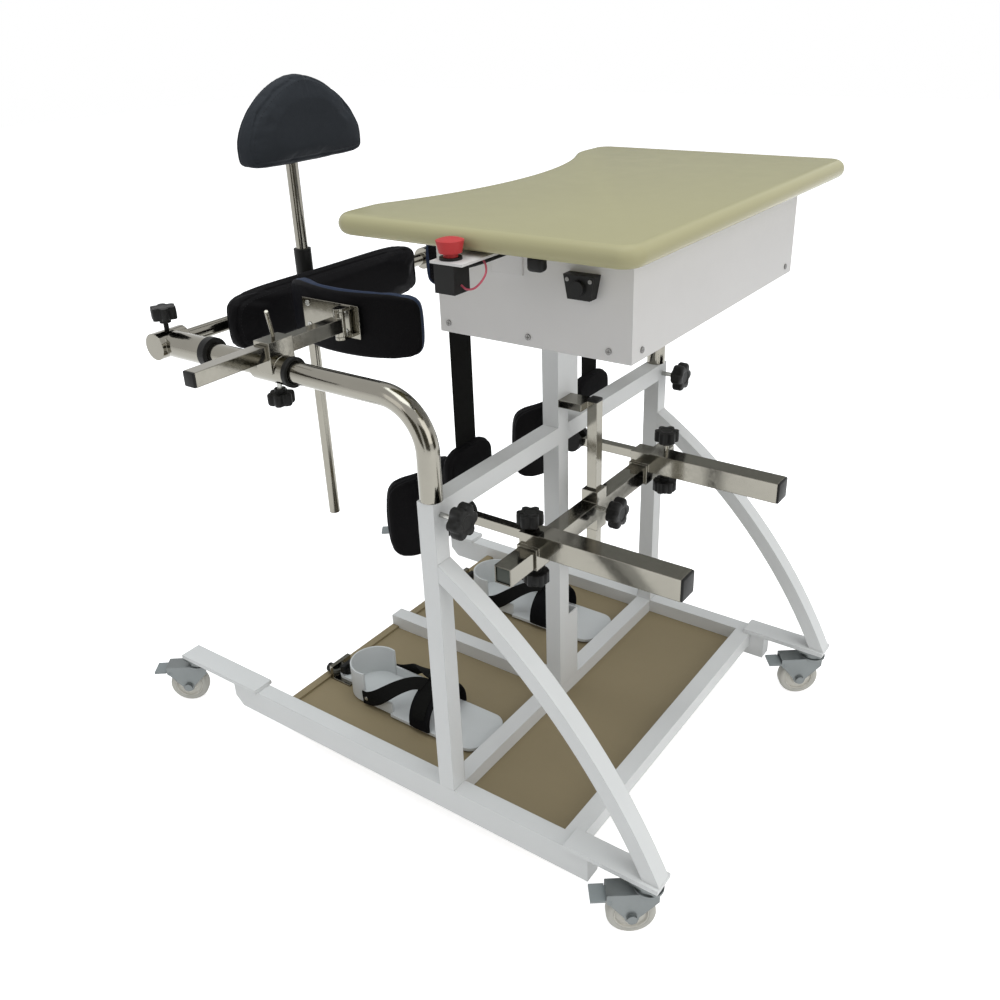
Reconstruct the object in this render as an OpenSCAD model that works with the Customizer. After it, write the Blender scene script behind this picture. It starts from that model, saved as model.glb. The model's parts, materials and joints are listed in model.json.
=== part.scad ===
/* [Base frame] */
// Distance between the centre lines of the two side rails
rail_span = 680; // [620:5:760]
// Side of the square frame tubes
tube = 30; // [28:1:36]
// Wall of the frame tubes
tube_wall = 2; // [1.5:0.5:3]
// Height of the side rails
rail_h = 50; // [42:1:60]
// Clear height under the side rails
rail_clear = 47; // [44:1:60]
// Length of the rails in front of the posts
rail_front = 269; // [255:1:300]
// Length of the rails behind the posts
rail_rear = 523; // [480:1:560]
// Depth of the slanted cut under the rear end of each rail
rail_bevel = 26; // [10:1:34]
// Distance of the front cross tube from the posts
cross_front = 225; // [205:1:235]
// Length of the centre tube that runs back from the column
spine_len = 400; // [360:1:440]
// Top of the floor boards above the floor
board_top = 70; // [64:1:76]
// Thickness of the floor boards
board_t = 15; // [10:1:18]
// Width of the batten along the rear edge of the boards
batten_w = 16; // [8:1:17]
// Thickness of the batten
batten_t = 5; // [3:1:10]

/* [Castors] */
// Width of the flat arms that carry the castors
arm_w = 42; // [36:1:50]
// Thickness of the flat arms
arm_t = 8; // [6:1:12]
// Front tip of the arms, measured from the posts
arm_front = 388; // [370:1:420]
// Length of each front arm
arm_front_len = 160; // [130:1:180]
// Rear tip of the arms, measured from the posts
arm_rear = 668; // [640:1:700]
// Length of each rear arm
arm_rear_len = 213; // [180:1:260]
// Distance of each swivel axis from the tip of its arm
swivel_in = 24; // [20:1:40]
// Diameter of the castor wheels
wheel_d = 75; // [68:1:78]
// Width of the castor wheels
wheel_w = 24; // [18:1:28]
// Trail of the wheel behind its swivel axis
castor_trail = 26; // [20:1:32]
// Direction that the castors trail in, turned from straight right
castor_turn = -53; // [-89:1:0]
// Radius of the wheel axle
axle_r = 5; // [4:0.5:6]
// Radius of the swivel pin
king_r = 6; // [5:0.5:7]

/* [Posts and column] */
// Height of the post tops
post_top = 622; // [600:1:640]
// Depth of the bore that takes the back tube
post_bore = 13; // [12.5:0.1:13.2]
// Height of the top of the curved braces on the posts
brace_top = 526; // [490:1:550]
// Thickness of the curved braces
brace_t = 25; // [20:1:30]
// How far the curved braces bow out from a straight line
brace_bow = 40; // [25:1:60]
// Top of the lower column stub
stub_low_top = 243; // [200:1:320]
// Bottom of the upper column stub
stub_high_bottom = 641; // [641:1:720]

/* [Tray and housing] */
// Width of the tray
tray_w = 700; // [670:1:760]
// Distance of the tray's front edge from the posts
tray_front = 319; // [305:1:350]
// Distance of the tray's rear edge from the posts
tray_rear = 133; // [125:1:150]
// Thickness of the tray
tray_t = 27; // [20:1:32]
// Radius of the tray's corners
tray_corner = 30; // [24:1:33]
// Half width of the body cut-out in the tray
notch_half = 262; // [240:1:270]
// Depth of the body cut-out
notch_depth = 66; // [55:1:75]
// Radius of the shoulders of the cut-out
notch_shoulder = 60; // [40:1:70]
// Width of the housing under the tray
housing_w = 526; // [500:1:560]
// Distance of the housing's front wall from the posts
housing_front = 271; // [255:1:290]
// Distance of the housing's rear wall from the posts
housing_rear = 26; // [22:1:34]
// Height of the housing's underside
housing_z = 844; // [835:1:860]
// Height of the housing
housing_h = 137; // [125:1:150]
// Wall of the housing
housing_wall = 2; // [1.5:0.5:3]

/* [Lift straps] */
// Distance of each lift strap's middle in from the housing's side
strap_in = 78; // [68:1:88]
// Width of the lift straps
strap_w = 50; // [40:1:56]
// Thickness of the lift straps
strap_t = 3; // [2:0.5:4]
// Radius of the guide bars behind the housing
guide_r = 10; // [8:1:12]
// Width of the sling pads
sling_w = 118; // [100:1:130]
// Height of the sling pads
sling_h = 88; // [70:1:90]
// Thickness of the sling pads
sling_t = 24; // [18:1:28]

/* [Back support] */
// Diameter of the bent chrome tubes
back_d = 34; // [32:1:36]
// Wall of the bent tubes
back_wall = 2; // [1.5:0.5:3]
// Height of the straight run of the tubes
back_z = 767; // [757:1:780]
// Bend radius of the tubes
back_bend = 75; // [65:1:90]
// Rear end of the tubes, measured from the posts
back_end = 515; // [505:1:545]
// Length of the spigot inside each post
spigot_len = 240; // [200:1:280]
// Length of the rear sleeves on the tubes
rear_sleeve = 96; // [90:1:98]
// Diameter of the bar behind the back pad
back_bar_d = 24; // [20:1:28]
// Width of the back pad
back_pad_w = 482; // [460:1:500]
// Height of the back pad
back_pad_h = 112; // [100:1:124]
// Thickness of the back pad
back_pad_t = 36; // [28:1:40]
// Diameter of the headrest post
head_post_d = 22; // [18:1:25]
// Bottom of the headrest post
head_post_low = 297; // [250:1:320]
// Width of the headrest
head_w = 282; // [240:1:320]
// Height of the headrest
head_h = 150; // [130:1:170]
// Bottom of the headrest
head_z = 1003; // [995:1:1040]
// Thickness of the headrest
head_t = 44; // [36:1:50]

/* [Side supports] */
// Distance of the side bars behind the posts
side_y = 286; // [276:1:296]
// Side of the square side bars
side_bar = 22; // [20:1:25]
// Outer end of the side bars from the middle
side_out = 494; // [470:1:530]
// Hinge of each side pad from the middle
side_hinge = 200; // [190:1:210]
// How far the left side pad is drawn out from there
side_slid = 100; // [0:1:100]
// Length of the clamp sleeves
side_sleeve = 75; // [60:1:80]
// Length of the side pads along their curve
side_pad_len = 318; // [290:1:330]
// Height of the side pads
side_pad_h = 116; // [100:1:124]
// Thickness of the side pads
side_pad_t = 34; // [28:1:38]
// Radius that the side pads are curved to
side_pad_bend = 262; // [230:1:300]

/* [Knee supports] */
// Distance of the upright guide in front of the posts
guide_y = 66; // [62:1:72]
// Side of the square upright guide
guide_w = 18; // [16:1:20]
// Bottom of the upright guide
guide_low = 366; // [350:1:376]
// Top of the upright guide
guide_top = 671; // [662:1:700]
// Height of the knee cross bar
knee_z = 479; // [475:1:483]
// Side of the square knee cross bar
knee_bar = 30; // [28:1:32]
// Half length of the knee cross bar
knee_half = 267; // [255:1:290]
// Distance of each knee arm from the middle
knee_x = 178; // [172:1:186]
// Side of the square knee arm tubes
knee_tube = 36; // [34:1:38]
// Front end of the knee arms from the posts
knee_front = 322; // [300:1:340]
// Side of the square rods that carry the knee pads
knee_rod = 16; // [14:1:18]
// Distance of the knee pad hinges behind the posts
knee_hinge = 80; // [74:1:86]
// Width of the knee pads
knee_pad_w = 196; // [170:1:204]
// Height of the knee pads
knee_pad_h = 150; // [130:1:160]
// Thickness of the knee pads
knee_pad_t = 38; // [30:1:42]
// Radius that the knee pads are bent to
knee_pad_bend = 120; // [112:1:160]

/* [Foot holders] */
// Distance of each foot holder from the middle
foot_x = 196; // [180:1:205]
// Length of the soles
foot_len = 328; // [300:1:332]
// Width of the soles
foot_w = 106; // [96:1:112]
// Distance of the heel pivots behind the posts
foot_pivot = 372; // [360:1:380]
// Height of the heel cups
heel_h = 58; // [45:1:70]

/* [Knobs and buttons] */
// Radius of the lobed knobs
knob_r = 21; // [18:1:24]
// Radius of the large lobed knobs on the posts and the knee slider
big_knob_r = 27; // [24:1:30]
// Height of the lobed knobs
knob_h = 20; // [16:1:24]
// Radius of the knob screws
screw_r = 4; // [3:0.5:5]
// Distance of the post knobs below the post tops
post_knob_drop = 20; // [14:1:26]
// Gap between the tray's edge and the emergency button
stop_gap = 2; // [1:0.5:10]
// Distance of the emergency button in front of the posts
stop_y = 84; // [60:1:110]
// Radius of the emergency button's cap
stop_r = 18; // [16:1:22]
// Travel of the emergency button
stop_travel = 4; // [3:0.5:6]

/* [Clearances] */
// Radial gap of every running fit
run = 0.06; // [0.02:0.01:0.1]
// Gap between sliding flat faces
slide_gap = 0.4; // [0.2:0.1:0.8]
// Joint line between welded or screwed pieces
joint = 0.1; // [0.05:0.05:0.2]

/* [Hidden] */
$fn = 64;
over = 1;

// Frame heights and places
rail_x = rail_span / 2;
rail_top = rail_clear + rail_h;
arm_low = rail_top + joint;
arm_top = arm_low + arm_t;
half = tube / 2;
inner = rail_x - half - joint;
cross_z = rail_top - tube;
spine_end = half + spine_len;

// Castor sizes, measured down from the arms
swivel_front = arm_front - swivel_in;
swivel_rear = swivel_in - arm_rear;
head_plate_t = 4;
head_plate_in = 2;
race_r = 20;
race_h = 7;
wheel_r = wheel_d / 2;
tread_round = 7;
hub_w = 9;
rim_w = 13;
rim_dip = 4;
fork_t = 3;
wheel_gap = 1.5;
fork_in = wheel_w / 2 + wheel_gap;
fork_gap = 0.5;
fork_front = 14;
axle_boss = 11;
nut_wall = 3;
nut_r = axle_r + nut_wall;
nut_h = 5;
race_low = rail_top - head_plate_t - race_h;
crown_t = 4;
crown_top = race_low - fork_gap;
crown_low = crown_top - crown_t;
pedal_pin_r = 3;
pedal_boss = 6;
pedal_out = 32;
pedal_u = castor_trail + pedal_out;
pedal_z = crown_low - pedal_boss - crown_t;
pedal_len = 30;
pedal_t = 4;
pedal_gap = 1;
pedal_w = 2 * (fork_in - pedal_gap);
pedal_wide = 2 * (fork_in + fork_t);

// The posts stand so that the part is centred front to back
pedal_reach = pedal_u + pedal_len;
rear_reach = -swivel_rear - pedal_reach * sin(castor_turn) + pedal_wide / 2 * cos(castor_turn);
post_y = (rear_reach - arm_front) / 2;

// Curved brace circle through the post and the arm tip
brace_a = [half, brace_top];
brace_b = [arm_front, arm_top];
brace_chord = norm(brace_b - brace_a);
brace_r = brace_chord * brace_chord / (8 * brace_bow) + brace_bow / 2;
brace_n = [brace_a[1] - brace_b[1], brace_b[0] - brace_a[0]] / brace_chord;
brace_c = (brace_a + brace_b) / 2 - (brace_r - brace_bow) * brace_n;
brace_more = 3;
brace_a0 = atan2(brace_b[1] - brace_c[1], brace_b[0] - brace_c[0]) - brace_more;
brace_a1 = atan2(brace_a[1] - brace_c[1], brace_a[0] - brace_c[0]) + brace_more;

// Tray and housing
housing_x = housing_w / 2;
strap_x = housing_x - strap_in;
housing_top = housing_z + housing_h;
tray_z = housing_top + joint;
floor_z = housing_z + housing_wall;
notch_r = (notch_half * notch_half + notch_depth * notch_depth) / (2 * notch_depth);
notch_y = notch_depth - tray_rear - notch_r;
shoulder_y = notch_shoulder - tray_rear;
shoulder_d = notch_r + notch_shoulder;
shoulder_x = sqrt(shoulder_d * shoulder_d - pow(shoulder_y - notch_y, 2));
shoulder_a = atan2(shoulder_y - notch_y, shoulder_x);
tray_steps = 5;
notch_steps = 14;
corner_steps = 8;

// Winch and lift straps
strap_gap = 0.3;
guide_out = 18;
guide_up = 42;
guide_cy = -housing_rear - guide_out;
guide_z = housing_z + guide_up;
strap_in_r = guide_r + strap_gap;
strap_out_r = strap_in_r + strap_t;
strap_y = guide_cy - strap_out_r;
strap_run_z = guide_z + strap_in_r;
slot_gap = 4;
cheek_t = 3;
cheek_gap = 6;
cheek_x = strap_w / 2 + cheek_gap;
drum_r = 22;
drum_y = 60;
drum_z = strap_run_z - strap_gap - drum_r;
shaft_r = 8;
shaft_in = 29;
shaft_half = housing_x - shaft_in;
bearing_t = 12;
bearing_w = 40;
bearing_x = shaft_half - bearing_t;
sprocket_r = 20;
sprocket_w = 24;
motor_r = 32;
motor_y = 185;
motor_len = 120;
motor_z = floor_z + motor_r + joint;
gear_box = [80, 88, 74];
battery_box = [160, 100, 95];
control_box = [60, 100, 45];
box_side = 30;
sling_drop = 288;
sling_low = housing_z - sling_drop;
sling_top = sling_low + sling_h;

// Back support
back_r = back_d / 2;
sleeve_wall = 5;
sleeve_r = back_r + sleeve_wall;
end_gap = 3;
bar_y = -back_end - sleeve_r - end_gap;
bar_r = back_bar_d / 2;
cross_sleeve = 58;
sleeve_bite = 4;
sleeve_back = bar_y + sleeve_r - sleeve_bite;
sleeve_front = sleeve_back + rear_sleeve;
collar_t = 14;
collar_wall = 3;
collar_r = sleeve_r + collar_wall;
pad_seat = 0.3;
pad_block = [220, 36];
pad_stand = 8;
pad_up = 4;
back_pad_y = bar_y + bar_r + pad_stand;
head_r = head_post_d / 2;
head_sleeve_r = head_r + sleeve_wall;
head_bite = 2;
head_y = bar_y - bar_r - head_sleeve_r + head_bite;
head_sleeve_down = 26;
head_sleeve_up = 82;
head_sleeve_low = back_z - head_sleeve_down;
head_sleeve_top = back_z + head_sleeve_up;
head_link = [28, 40];
link_y = head_y + head_sleeve_r - head_bite - over;
head_mid = head_z + head_h * 0.42;
head_plate = [48, 44];
head_stand = 4;
head_pad_y = head_y + head_r + head_stand;
head_post_up = 40;
head_post_top = head_mid + head_post_up;
back_screw = 18;

// Side supports
bar_gap = side_bar / 2 + slide_gap;
clamp_floor = 3;
clamp_half = 24;
clamp_wall = 4.5;
side_z = back_z + back_r + clamp_floor + bar_gap;
lever_r = 3;
lever_len = 52;
lever_in = 8;
lever_lean = [-18, 24, 0];
side_wall = 2;
cap_t = 3;
knuckle_r = 9;
knuckle_h = 40;
hinge_pin_r = 4;
ear_t = 5;
plate_t = 4;
plate_len = 124;
plate_h = 54;
plate_stand = 12;
plate_back = 36;
plate_x = side_hinge - knuckle_r - plate_stand;
plate_y = -side_y - plate_back;
side_pad_x = plate_x - pad_seat;
side_pad_back = 30;
side_pad_drop = 8;
side_screw = 20;

// Knee supports
slider_w = knee_bar;
slider_h = 72;
bar_wall = 2;
guide_plate = 12;
arm_sleeve = 50;
arm_wall = 3;
sleeve_q = knee_bar / 2 + slide_gap;
sleeve_o = sleeve_q + arm_wall;
rod_gap = knee_rod / 2 + slide_gap;
rod_z = knee_z + sleeve_o + rod_gap;
tube_drop = 5;
tube_z = rod_z - tube_drop;
arm_start = guide_y + sleeve_o - over;
arm_block_top = rod_z + rod_gap + arm_wall;
arm_end_wall = 4;
rod_front = 200;
arm_knob_gap = 3;
arm_knob_y = guide_y + sleeve_o + knob_r + arm_knob_gap;
arm_screw_top = 24;
arm_screw_low = 16;
arm_screw_back = 16;
arm_screw_rear = 8;
arm_clamp_y = guide_y - sleeve_o / 2;
knee_screw = 26;
bracket_r = 20;
bracket_t = 11;
bracket_gap = slide_gap;
bracket_len = 42;
bracket_plate = [56, 60, 5];
knee_pad_y = -knee_hinge - bracket_len - bracket_plate[2];
knee_pad_drop = 6;

// Knobs and buttons
knob_lobes = 6;
knob_neck = 6;
post_screw = 30;
stop_x = tray_w / 2 + stop_gap + stop_r;
stop_plate_t = 3;
stop_drop = 7;
stop_plate_z = housing_top - stop_drop;
stop_body = 15;
stop_body_h = 36;
stop_rim = 3;
stop_wide = [18, 30];
stop_flange = 40;
stop_collar = [14, 3];
stop_stem_r = 9;
stop_bore = 22;
stop_stem = 16;
stop_spare = 1;
stop_cap_z = stop_plate_z + stop_plate_t + stop_collar[1] + stop_travel + stop_spare;
stop_cap_h = 18;
stop_dome_r = stop_r * 2.5;
stop_taper = 4;
socket_size = [16, 44, 30];
socket_taper = 6;
socket_nose = [9, 6];
socket_back = 88;
socket_down = 60;
socket_y = housing_front - socket_back;
socket_z = housing_top - socket_down;

// Foot holders
bracket_base_t = 4;
sole_z = board_top + bracket_base_t + slide_gap;
sole_t = 6;
heel_in = 6;
heel_r = foot_w / 2 - heel_in;
pivot_r = 6;
tab_r = 16;
foot_plate = 25;
heel_plate = [8, 30];
wing = [34, 8, 16];
wing_hub = [10, 12];
side_wing = [9, 14];
heel_gap = 4;
heel_shift = 8;
sole_heel = tab_r + heel_gap - foot_pivot;
heel_c = sole_heel + heel_r + heel_shift;
toe_end = sole_heel + foot_len;
toe_r = 30;
waist = 80;
cup_wall = 3;
cup_front = 12;
cup_side_h = 26;
strap_band = 3.5;
strap_wide = 46;
ankle_rise = 22;
instep_rise = 8;
ankle_ahead = 14;
instep_ahead = 128;
ankle_y = heel_c + ankle_ahead;
instep_y = heel_c + instep_ahead;
instep_more = 5;

// Outline of a pad: a rounded rectangle or a domed shape from one formula
pad_n = 36;
dome_low = 0.26;
dome_round = 1.8;
dome_square = 7;
function lobe(v, p) = sign(v) * pow(abs(v), 2 / p);
function turn(i) = 360 * i / pad_n;
function pad_point(i, w, h, p) = [w / 2 * lobe(cos(turn(i)), p), h / 2 * lobe(sin(turn(i)), p)];
function dome_point(i, w, h) =
    let (low = sin(turn(i)) < 0, p = low ? dome_square : dome_round, share = low ? dome_low : 1 - dome_low)
    [w / 2 * lobe(cos(turn(i)), p), h * share * lobe(sin(turn(i)), p)];

// Section of a pad from its back to the middle of its crown: inset as a share, then height as a share
PAD_SECTION = [
    [0.12, 0], [0.02, 0.09], [0, 0.26], [0.03, 0.48], [0, 0.7],
    [0.06, 0.86], [0.2, 0.96], [0.5, 1.02], [0.85, 1.04], [1, 1.05]
];
function curl(p, bend) =
    bend == 0 ? p :
    let (a = p[0] / bend * 180 / PI, r = bend - p[2])
    [r * sin(a), p[1], bend - r * cos(a)];
function drawn(q, w, h, inset) = [q[0] * (1 - 2 * inset / w), q[1] * (1 - 2 * inset / h)];

// Cushion with a crown and drawn-in sides, its back on the plane and its crown upwards
module cushion(w, h, t, p = 5, bend = 0, dome = false) {
    rings = len(PAD_SECTION) - 1;
    crown = PAD_SECTION[rings][1] * t;
    short = min(w, h) / 2;
    ring_points = [
        for (j = [0:rings - 1]) for (i = [0:pad_n - 1])
            let (edge = dome ? dome_point(i, w, h) : pad_point(i, w, h, p))
            let (q = drawn(edge, w, h, PAD_SECTION[j][0] * short))
            curl([q[0], q[1], PAD_SECTION[j][1] * t], bend)
    ];
    last = rings * pad_n;
    points = concat(ring_points, [curl([0, 0, 0], bend), curl([0, 0, crown], bend)]);
    sides = [
        for (j = [0:rings - 2]) for (i = [0:pad_n - 1])
            let (a = j * pad_n + i, b = j * pad_n + (i + 1) % pad_n)
            each [[a, a + pad_n, b], [b, a + pad_n, b + pad_n]]
    ];
    low = [for (i = [0:pad_n - 1]) [i, (i + 1) % pad_n, last]];
    top = [for (i = [0:pad_n - 1]) [last - pad_n + (i + 1) % pad_n, last - pad_n + i, last + 1]];
    polyhedron(points = points, faces = concat(sides, low, top), convexity = 4);
}

// Places children in front of or behind the posts
module at_posts() {
    translate([0, post_y, 0]) children();
}

// How far a side's pad and hinge are drawn out
function slid(s) = s > 0 ? 0 : side_slid;

// Right is the side at positive x, left is its mirror image
module on_side(s) {
    if (s > 0) children();
    else mirror([1, 0, 0]) children();
}

// Draws children on both sides
module both_sides() {
    for (s = [-1, 1]) on_side(s) children();
}

// Solid block between two corners
module block(lo, hi) {
    translate(lo) cube(hi - lo);
}

// Square tube between two corners, open along one axis
module hollow(lo, hi, axis) {
    difference() {
        block(lo, hi);
        block([for (i = [0:2]) i == axis ? lo[i] - over : lo[i] + tube_wall],
              [for (i = [0:2]) i == axis ? hi[i] + over : hi[i] - tube_wall]);
    }
}

// Cylinder along x or y between two ends
module along_x(r, a, b) {
    translate([a, 0, 0]) rotate([0, 90, 0]) cylinder(r = r, h = b - a);
}
module along_y(r, a, b) {
    translate([0, a, 0]) rotate([-90, 0, 0]) cylinder(r = r, h = b - a);
}

// Lobed clamp knob on its screw, the screw tip at the origin and the knob upwards
module lobe_knob(screw, r = knob_r) {
    lobe_r = r * 0.3;
    cylinder(r = screw_r, h = screw + over);
    translate([0, 0, screw - knob_neck]) cylinder(r = r * 0.42, h = knob_neck + over);
    translate([0, 0, screw]) linear_extrude(knob_h) {
        circle(r - lobe_r * 0.8);
        for (i = [1:knob_lobes])
            rotate(i * 360 / knob_lobes) translate([r - lobe_r, 0]) circle(lobe_r);
    }
}

module base_frame() {
    x0 = rail_x - half;
    x1 = rail_x + half;
    arm_half = arm_w / 2;
    color("whitesmoke") at_posts() {
        both_sides() {
            difference() {
                block([x0, -rail_rear, rail_clear], [x1, rail_front, rail_top]);
                block([x0 + tube_wall, -rail_rear - over, rail_clear + tube_wall],
                      [x1 - tube_wall, rail_front - tube_wall, rail_top - tube_wall]);
                translate([rail_x, -rail_rear, rail_clear]) rotate([45, 0, 0])
                    cube([2 * tube, rail_bevel, rail_bevel], center = true);
            }
            for (ends = [[arm_front - arm_front_len, arm_front], [-arm_rear, arm_rear_len - arm_rear]])
                block([rail_x - arm_half, ends[0], arm_low], [rail_x + arm_half, ends[1], arm_top]);
        }
        for (y = [cross_front, 0])
            hollow([-inner, y - half, cross_z], [inner, y + half, rail_top], 0);
        hollow([-half, -spine_end, cross_z], [half, -half - joint, rail_top], 1);
    }
}

module uprights() {
    column_base = rail_top + joint;
    column_top = housing_z - joint;
    bar_low = post_top - tube;
    bar_end = rail_x - half - joint;
    color("whitesmoke") at_posts() {
        both_sides() difference() {
            block([rail_x - half, -half, column_base], [rail_x + half, half, post_top]);
            translate([rail_x, 0, column_base - over]) cylinder(r = post_bore + run, h = post_top);
            translate([rail_x, 0, post_top - post_knob_drop]) along_y(screw_r + run, 0, tube);
        }
        hollow([tube + joint, -half, bar_low], [bar_end, half, post_top], 0);
        hollow([-bar_end, -half, bar_low], [-joint, half, post_top], 0);
        hollow([0, -half, column_base], [tube, half, column_top], 2);
        hollow([-tube, -half, column_base], [-joint, half, stub_low_top], 2);
        hollow([-tube, -half, stub_high_bottom], [-joint, half, column_top], 2);
    }
}

module arch_braces() {
    color("whitesmoke") at_posts() both_sides() intersection() {
        translate([rail_x - half, brace_c[0], brace_c[1]]) rotate([90, 0, 90]) rotate(brace_a0)
            rotate_extrude(angle = brace_a1 - brace_a0, $fn = 180)
                translate([brace_r - brace_t, 0]) square([brace_t, tube]);
        block([rail_x - tube, half + joint, arm_top + joint], [rail_x + tube, arm_front + tube, post_top]);
    }
}

module floor_boards() {
    low = board_top - board_t;
    color("#8c8064") at_posts() {
        both_sides() block([half + joint, -spine_end, low], [inner, -half - joint, board_top]);
        block([-inner, half + joint, low], [inner, cross_front - half - joint, board_top]);
        both_sides()
            block([half + joint, -spine_end, board_top + joint],
                  [inner, batten_w - spine_end, board_top + batten_t]);
    }
}

module knee_guide() {
    g = guide_w / 2;
    color("silver") at_posts() {
        block([-g, guide_y - g, guide_low], [g, guide_y + g, guide_top]);
        for (z = [guide_low, guide_top - guide_plate])
            block([-g, half + joint, z], [tube, guide_y - g + over, z + guide_plate]);
    }
}

module housing() {
    slot_x = strap_w / 2 + slot_gap;
    slot_y = housing_wall - housing_rear + over;
    color("whitesmoke") at_posts() {
        difference() {
            block([-housing_x, -housing_rear, housing_z], [housing_x, housing_front, housing_top]);
            block([housing_wall - housing_x, housing_wall - housing_rear, floor_z],
                  [housing_x - housing_wall, housing_front - housing_wall, housing_top + over]);
            both_sides()
                block([strap_x - slot_x, -housing_rear - over, strap_run_z - slot_gap],
                      [strap_x + slot_x, slot_y, strap_run_z + strap_t + slot_gap]);
        }
        both_sides() translate([strap_x, 0, guide_z]) {
            translate([0, guide_cy, 0]) along_x(guide_r, -cheek_x - over, cheek_x + over);
            for (x = [-cheek_x - cheek_t, cheek_x])
                block([x, guide_cy - guide_r, -guide_r], [x + cheek_t, over - housing_rear, guide_r]);
        }
    }
}

// Points along an arc, from one angle to another
function arc_points(c, r, from, to, n) =
    [for (i = [0:n]) let (a = from + (to - from) * i / n) c + r * [cos(a), sin(a)]];

// Right half of the tray's outline drawn in by an inset, from the cut-out to the front edge
function tray_half(inset) =
    let (x = tray_w / 2 - tray_corner, front = tray_front - tray_corner, rear = tray_corner - tray_rear)
    let (r = tray_corner - inset)
    concat(
        arc_points([0, notch_y], notch_r + inset, 90, shoulder_a, notch_steps),
        arc_points([shoulder_x, shoulder_y], notch_shoulder - inset, shoulder_a + 180, 270, corner_steps),
        arc_points([x, rear], r, 270, 360, corner_steps),
        arc_points([x, front], r, 0, 90, corner_steps)
    );

module tray_outline(inset) {
    right = tray_half(inset);
    left = [for (i = [len(right) - 1:-1:1]) [-right[i][0], right[i][1]]];
    polygon(concat(right, left));
}

module tray() {
    bull = tray_t / 2;
    step = tray_t / tray_steps;
    color("#d8d2b0") at_posts() for (i = [0:tray_steps - 1]) {
        mid = abs(2 * i + 1 - tray_steps) / tray_steps;
        translate([0, 0, tray_z + i * step]) linear_extrude(step)
            tray_outline(bull * (1 - sqrt(1 - mid * mid)));
    }
}

module stop_base() {
    top = stop_plate_z + stop_plate_t;
    x0 = housing_x + joint;
    y0 = stop_y - stop_wide[0];
    y1 = stop_y + stop_wide[1];
    color("dimgray") at_posts() difference() {
        union() {
            block([x0, y0, stop_plate_z], [stop_x + stop_body + stop_rim, y1, top]);
            block([x0, y0, top - stop_flange], [x0 + stop_plate_t, y1, top]);
            block([stop_x - stop_body, stop_y - stop_body, stop_plate_z - stop_body_h],
                  [stop_x + stop_body, stop_y + stop_body, top]);
            translate([stop_x, stop_y, stop_plate_z])
                cylinder(r = stop_collar[0], h = stop_plate_t + stop_collar[1]);
        }
        translate([stop_x, stop_y, stop_plate_z - stop_bore])
            cylinder(r = stop_stem_r + run, h = 2 * stop_body_h);
    }
}

module stop_button() {
    color("crimson") at_posts() translate([stop_x, stop_y, 0]) {
        translate([0, 0, stop_plate_z - stop_stem])
            cylinder(r = stop_stem_r, h = stop_cap_z - stop_plate_z + stop_stem + over);
        translate([0, 0, stop_cap_z]) intersection() {
            cylinder(r1 = stop_r - stop_taper, r2 = stop_r, h = stop_cap_h);
            translate([0, 0, stop_cap_h - stop_dome_r]) sphere(r = stop_dome_r);
        }
    }
}

module hand_socket() {
    d = socket_size;
    color("#202020") at_posts() translate([housing_x + joint, socket_y, socket_z]) {
        rotate([90, 0, 90]) linear_extrude(d[0])
            polygon([[socket_taper, 0], [d[1] - socket_taper, 0], [d[1], d[2]], [0, d[2]]]);
        translate([d[0] - over, d[1] / 2, d[2] / 2]) along_x(socket_nose[0], 0, socket_nose[1]);
    }
}

// Box standing on the housing floor, from its lower corner
module floor_box(x, size) {
    translate([x, motor_y - size[1] / 2, floor_z + joint]) cube(size);
}

module drive_unit() {
    gear_x = gear_box[0] / 2;
    color("slategray") at_posts() {
        translate([0, motor_y, motor_z]) along_x(motor_r, -gear_x - joint - motor_len, -gear_x - joint);
        floor_box(-gear_x, gear_box);
        floor_box(housing_x - box_side - battery_box[0], battery_box);
        floor_box(box_side - housing_x, control_box);
        for (x = [-bearing_x, bearing_x]) difference() {
            block([x - bearing_t / 2, drum_y - bearing_w / 2, floor_z + joint],
                  [x + bearing_t / 2, drum_y + bearing_w / 2, drum_z + bearing_w / 2]);
            translate([0, drum_y, drum_z]) along_x(shaft_r + run, x - bearing_t, x + bearing_t);
        }
    }
}

module winch_shaft() {
    color("silver") at_posts() translate([0, drum_y, drum_z]) {
        along_x(shaft_r, -shaft_half, shaft_half);
        for (x = [-strap_x, strap_x]) along_x(drum_r, x - strap_w / 2, x + strap_w / 2);
        along_x(sprocket_r, -sprocket_w / 2, sprocket_w / 2);
    }
}

module lift_straps() {
    w = strap_w;
    color("#151515") at_posts() both_sides() translate([strap_x - w / 2, 0, 0]) {
        block([0, strap_y, sling_top + joint], [w, strap_y + strap_t, guide_z]);
        translate([0, guide_cy, guide_z]) rotate([90, 0, 90]) rotate(90)
            rotate_extrude(angle = 90) translate([strap_in_r, 0]) square([strap_t, w]);
        block([0, guide_cy, strap_run_z], [w, drum_y, strap_run_z + strap_t]);
    }
}

module sling_pads() {
    color("#151515") at_posts() both_sides()
        translate([strap_x, strap_y + strap_t / 2 + sling_t / 2, (sling_low + sling_top) / 2])
            rotate([90, 0, 0]) cushion(sling_w, sling_h, sling_t, 3.2);
}

// Places children at one castor, with the trail along positive x
module at_castor(s, front) {
    at_posts() translate([s * rail_x, front ? swivel_front : swivel_rear, 0]) rotate(castor_turn) children();
}

module castor_heads() {
    x = arm_w / 2;
    y = swivel_in - head_plate_in;
    low = rail_top - head_plate_t;
    color("silver") for (s = [-1, 1], front = [true, false]) at_castor(s, front) difference() {
        union() {
            rotate(-castor_turn) block([-x, -y, low], [x, y, rail_top]);
            translate([0, 0, race_low]) cylinder(r = race_r, h = race_h + over);
        }
        translate([0, 0, race_low - over]) cylinder(r = king_r + run, h = race_h + head_plate_t);
    }
}

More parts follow.
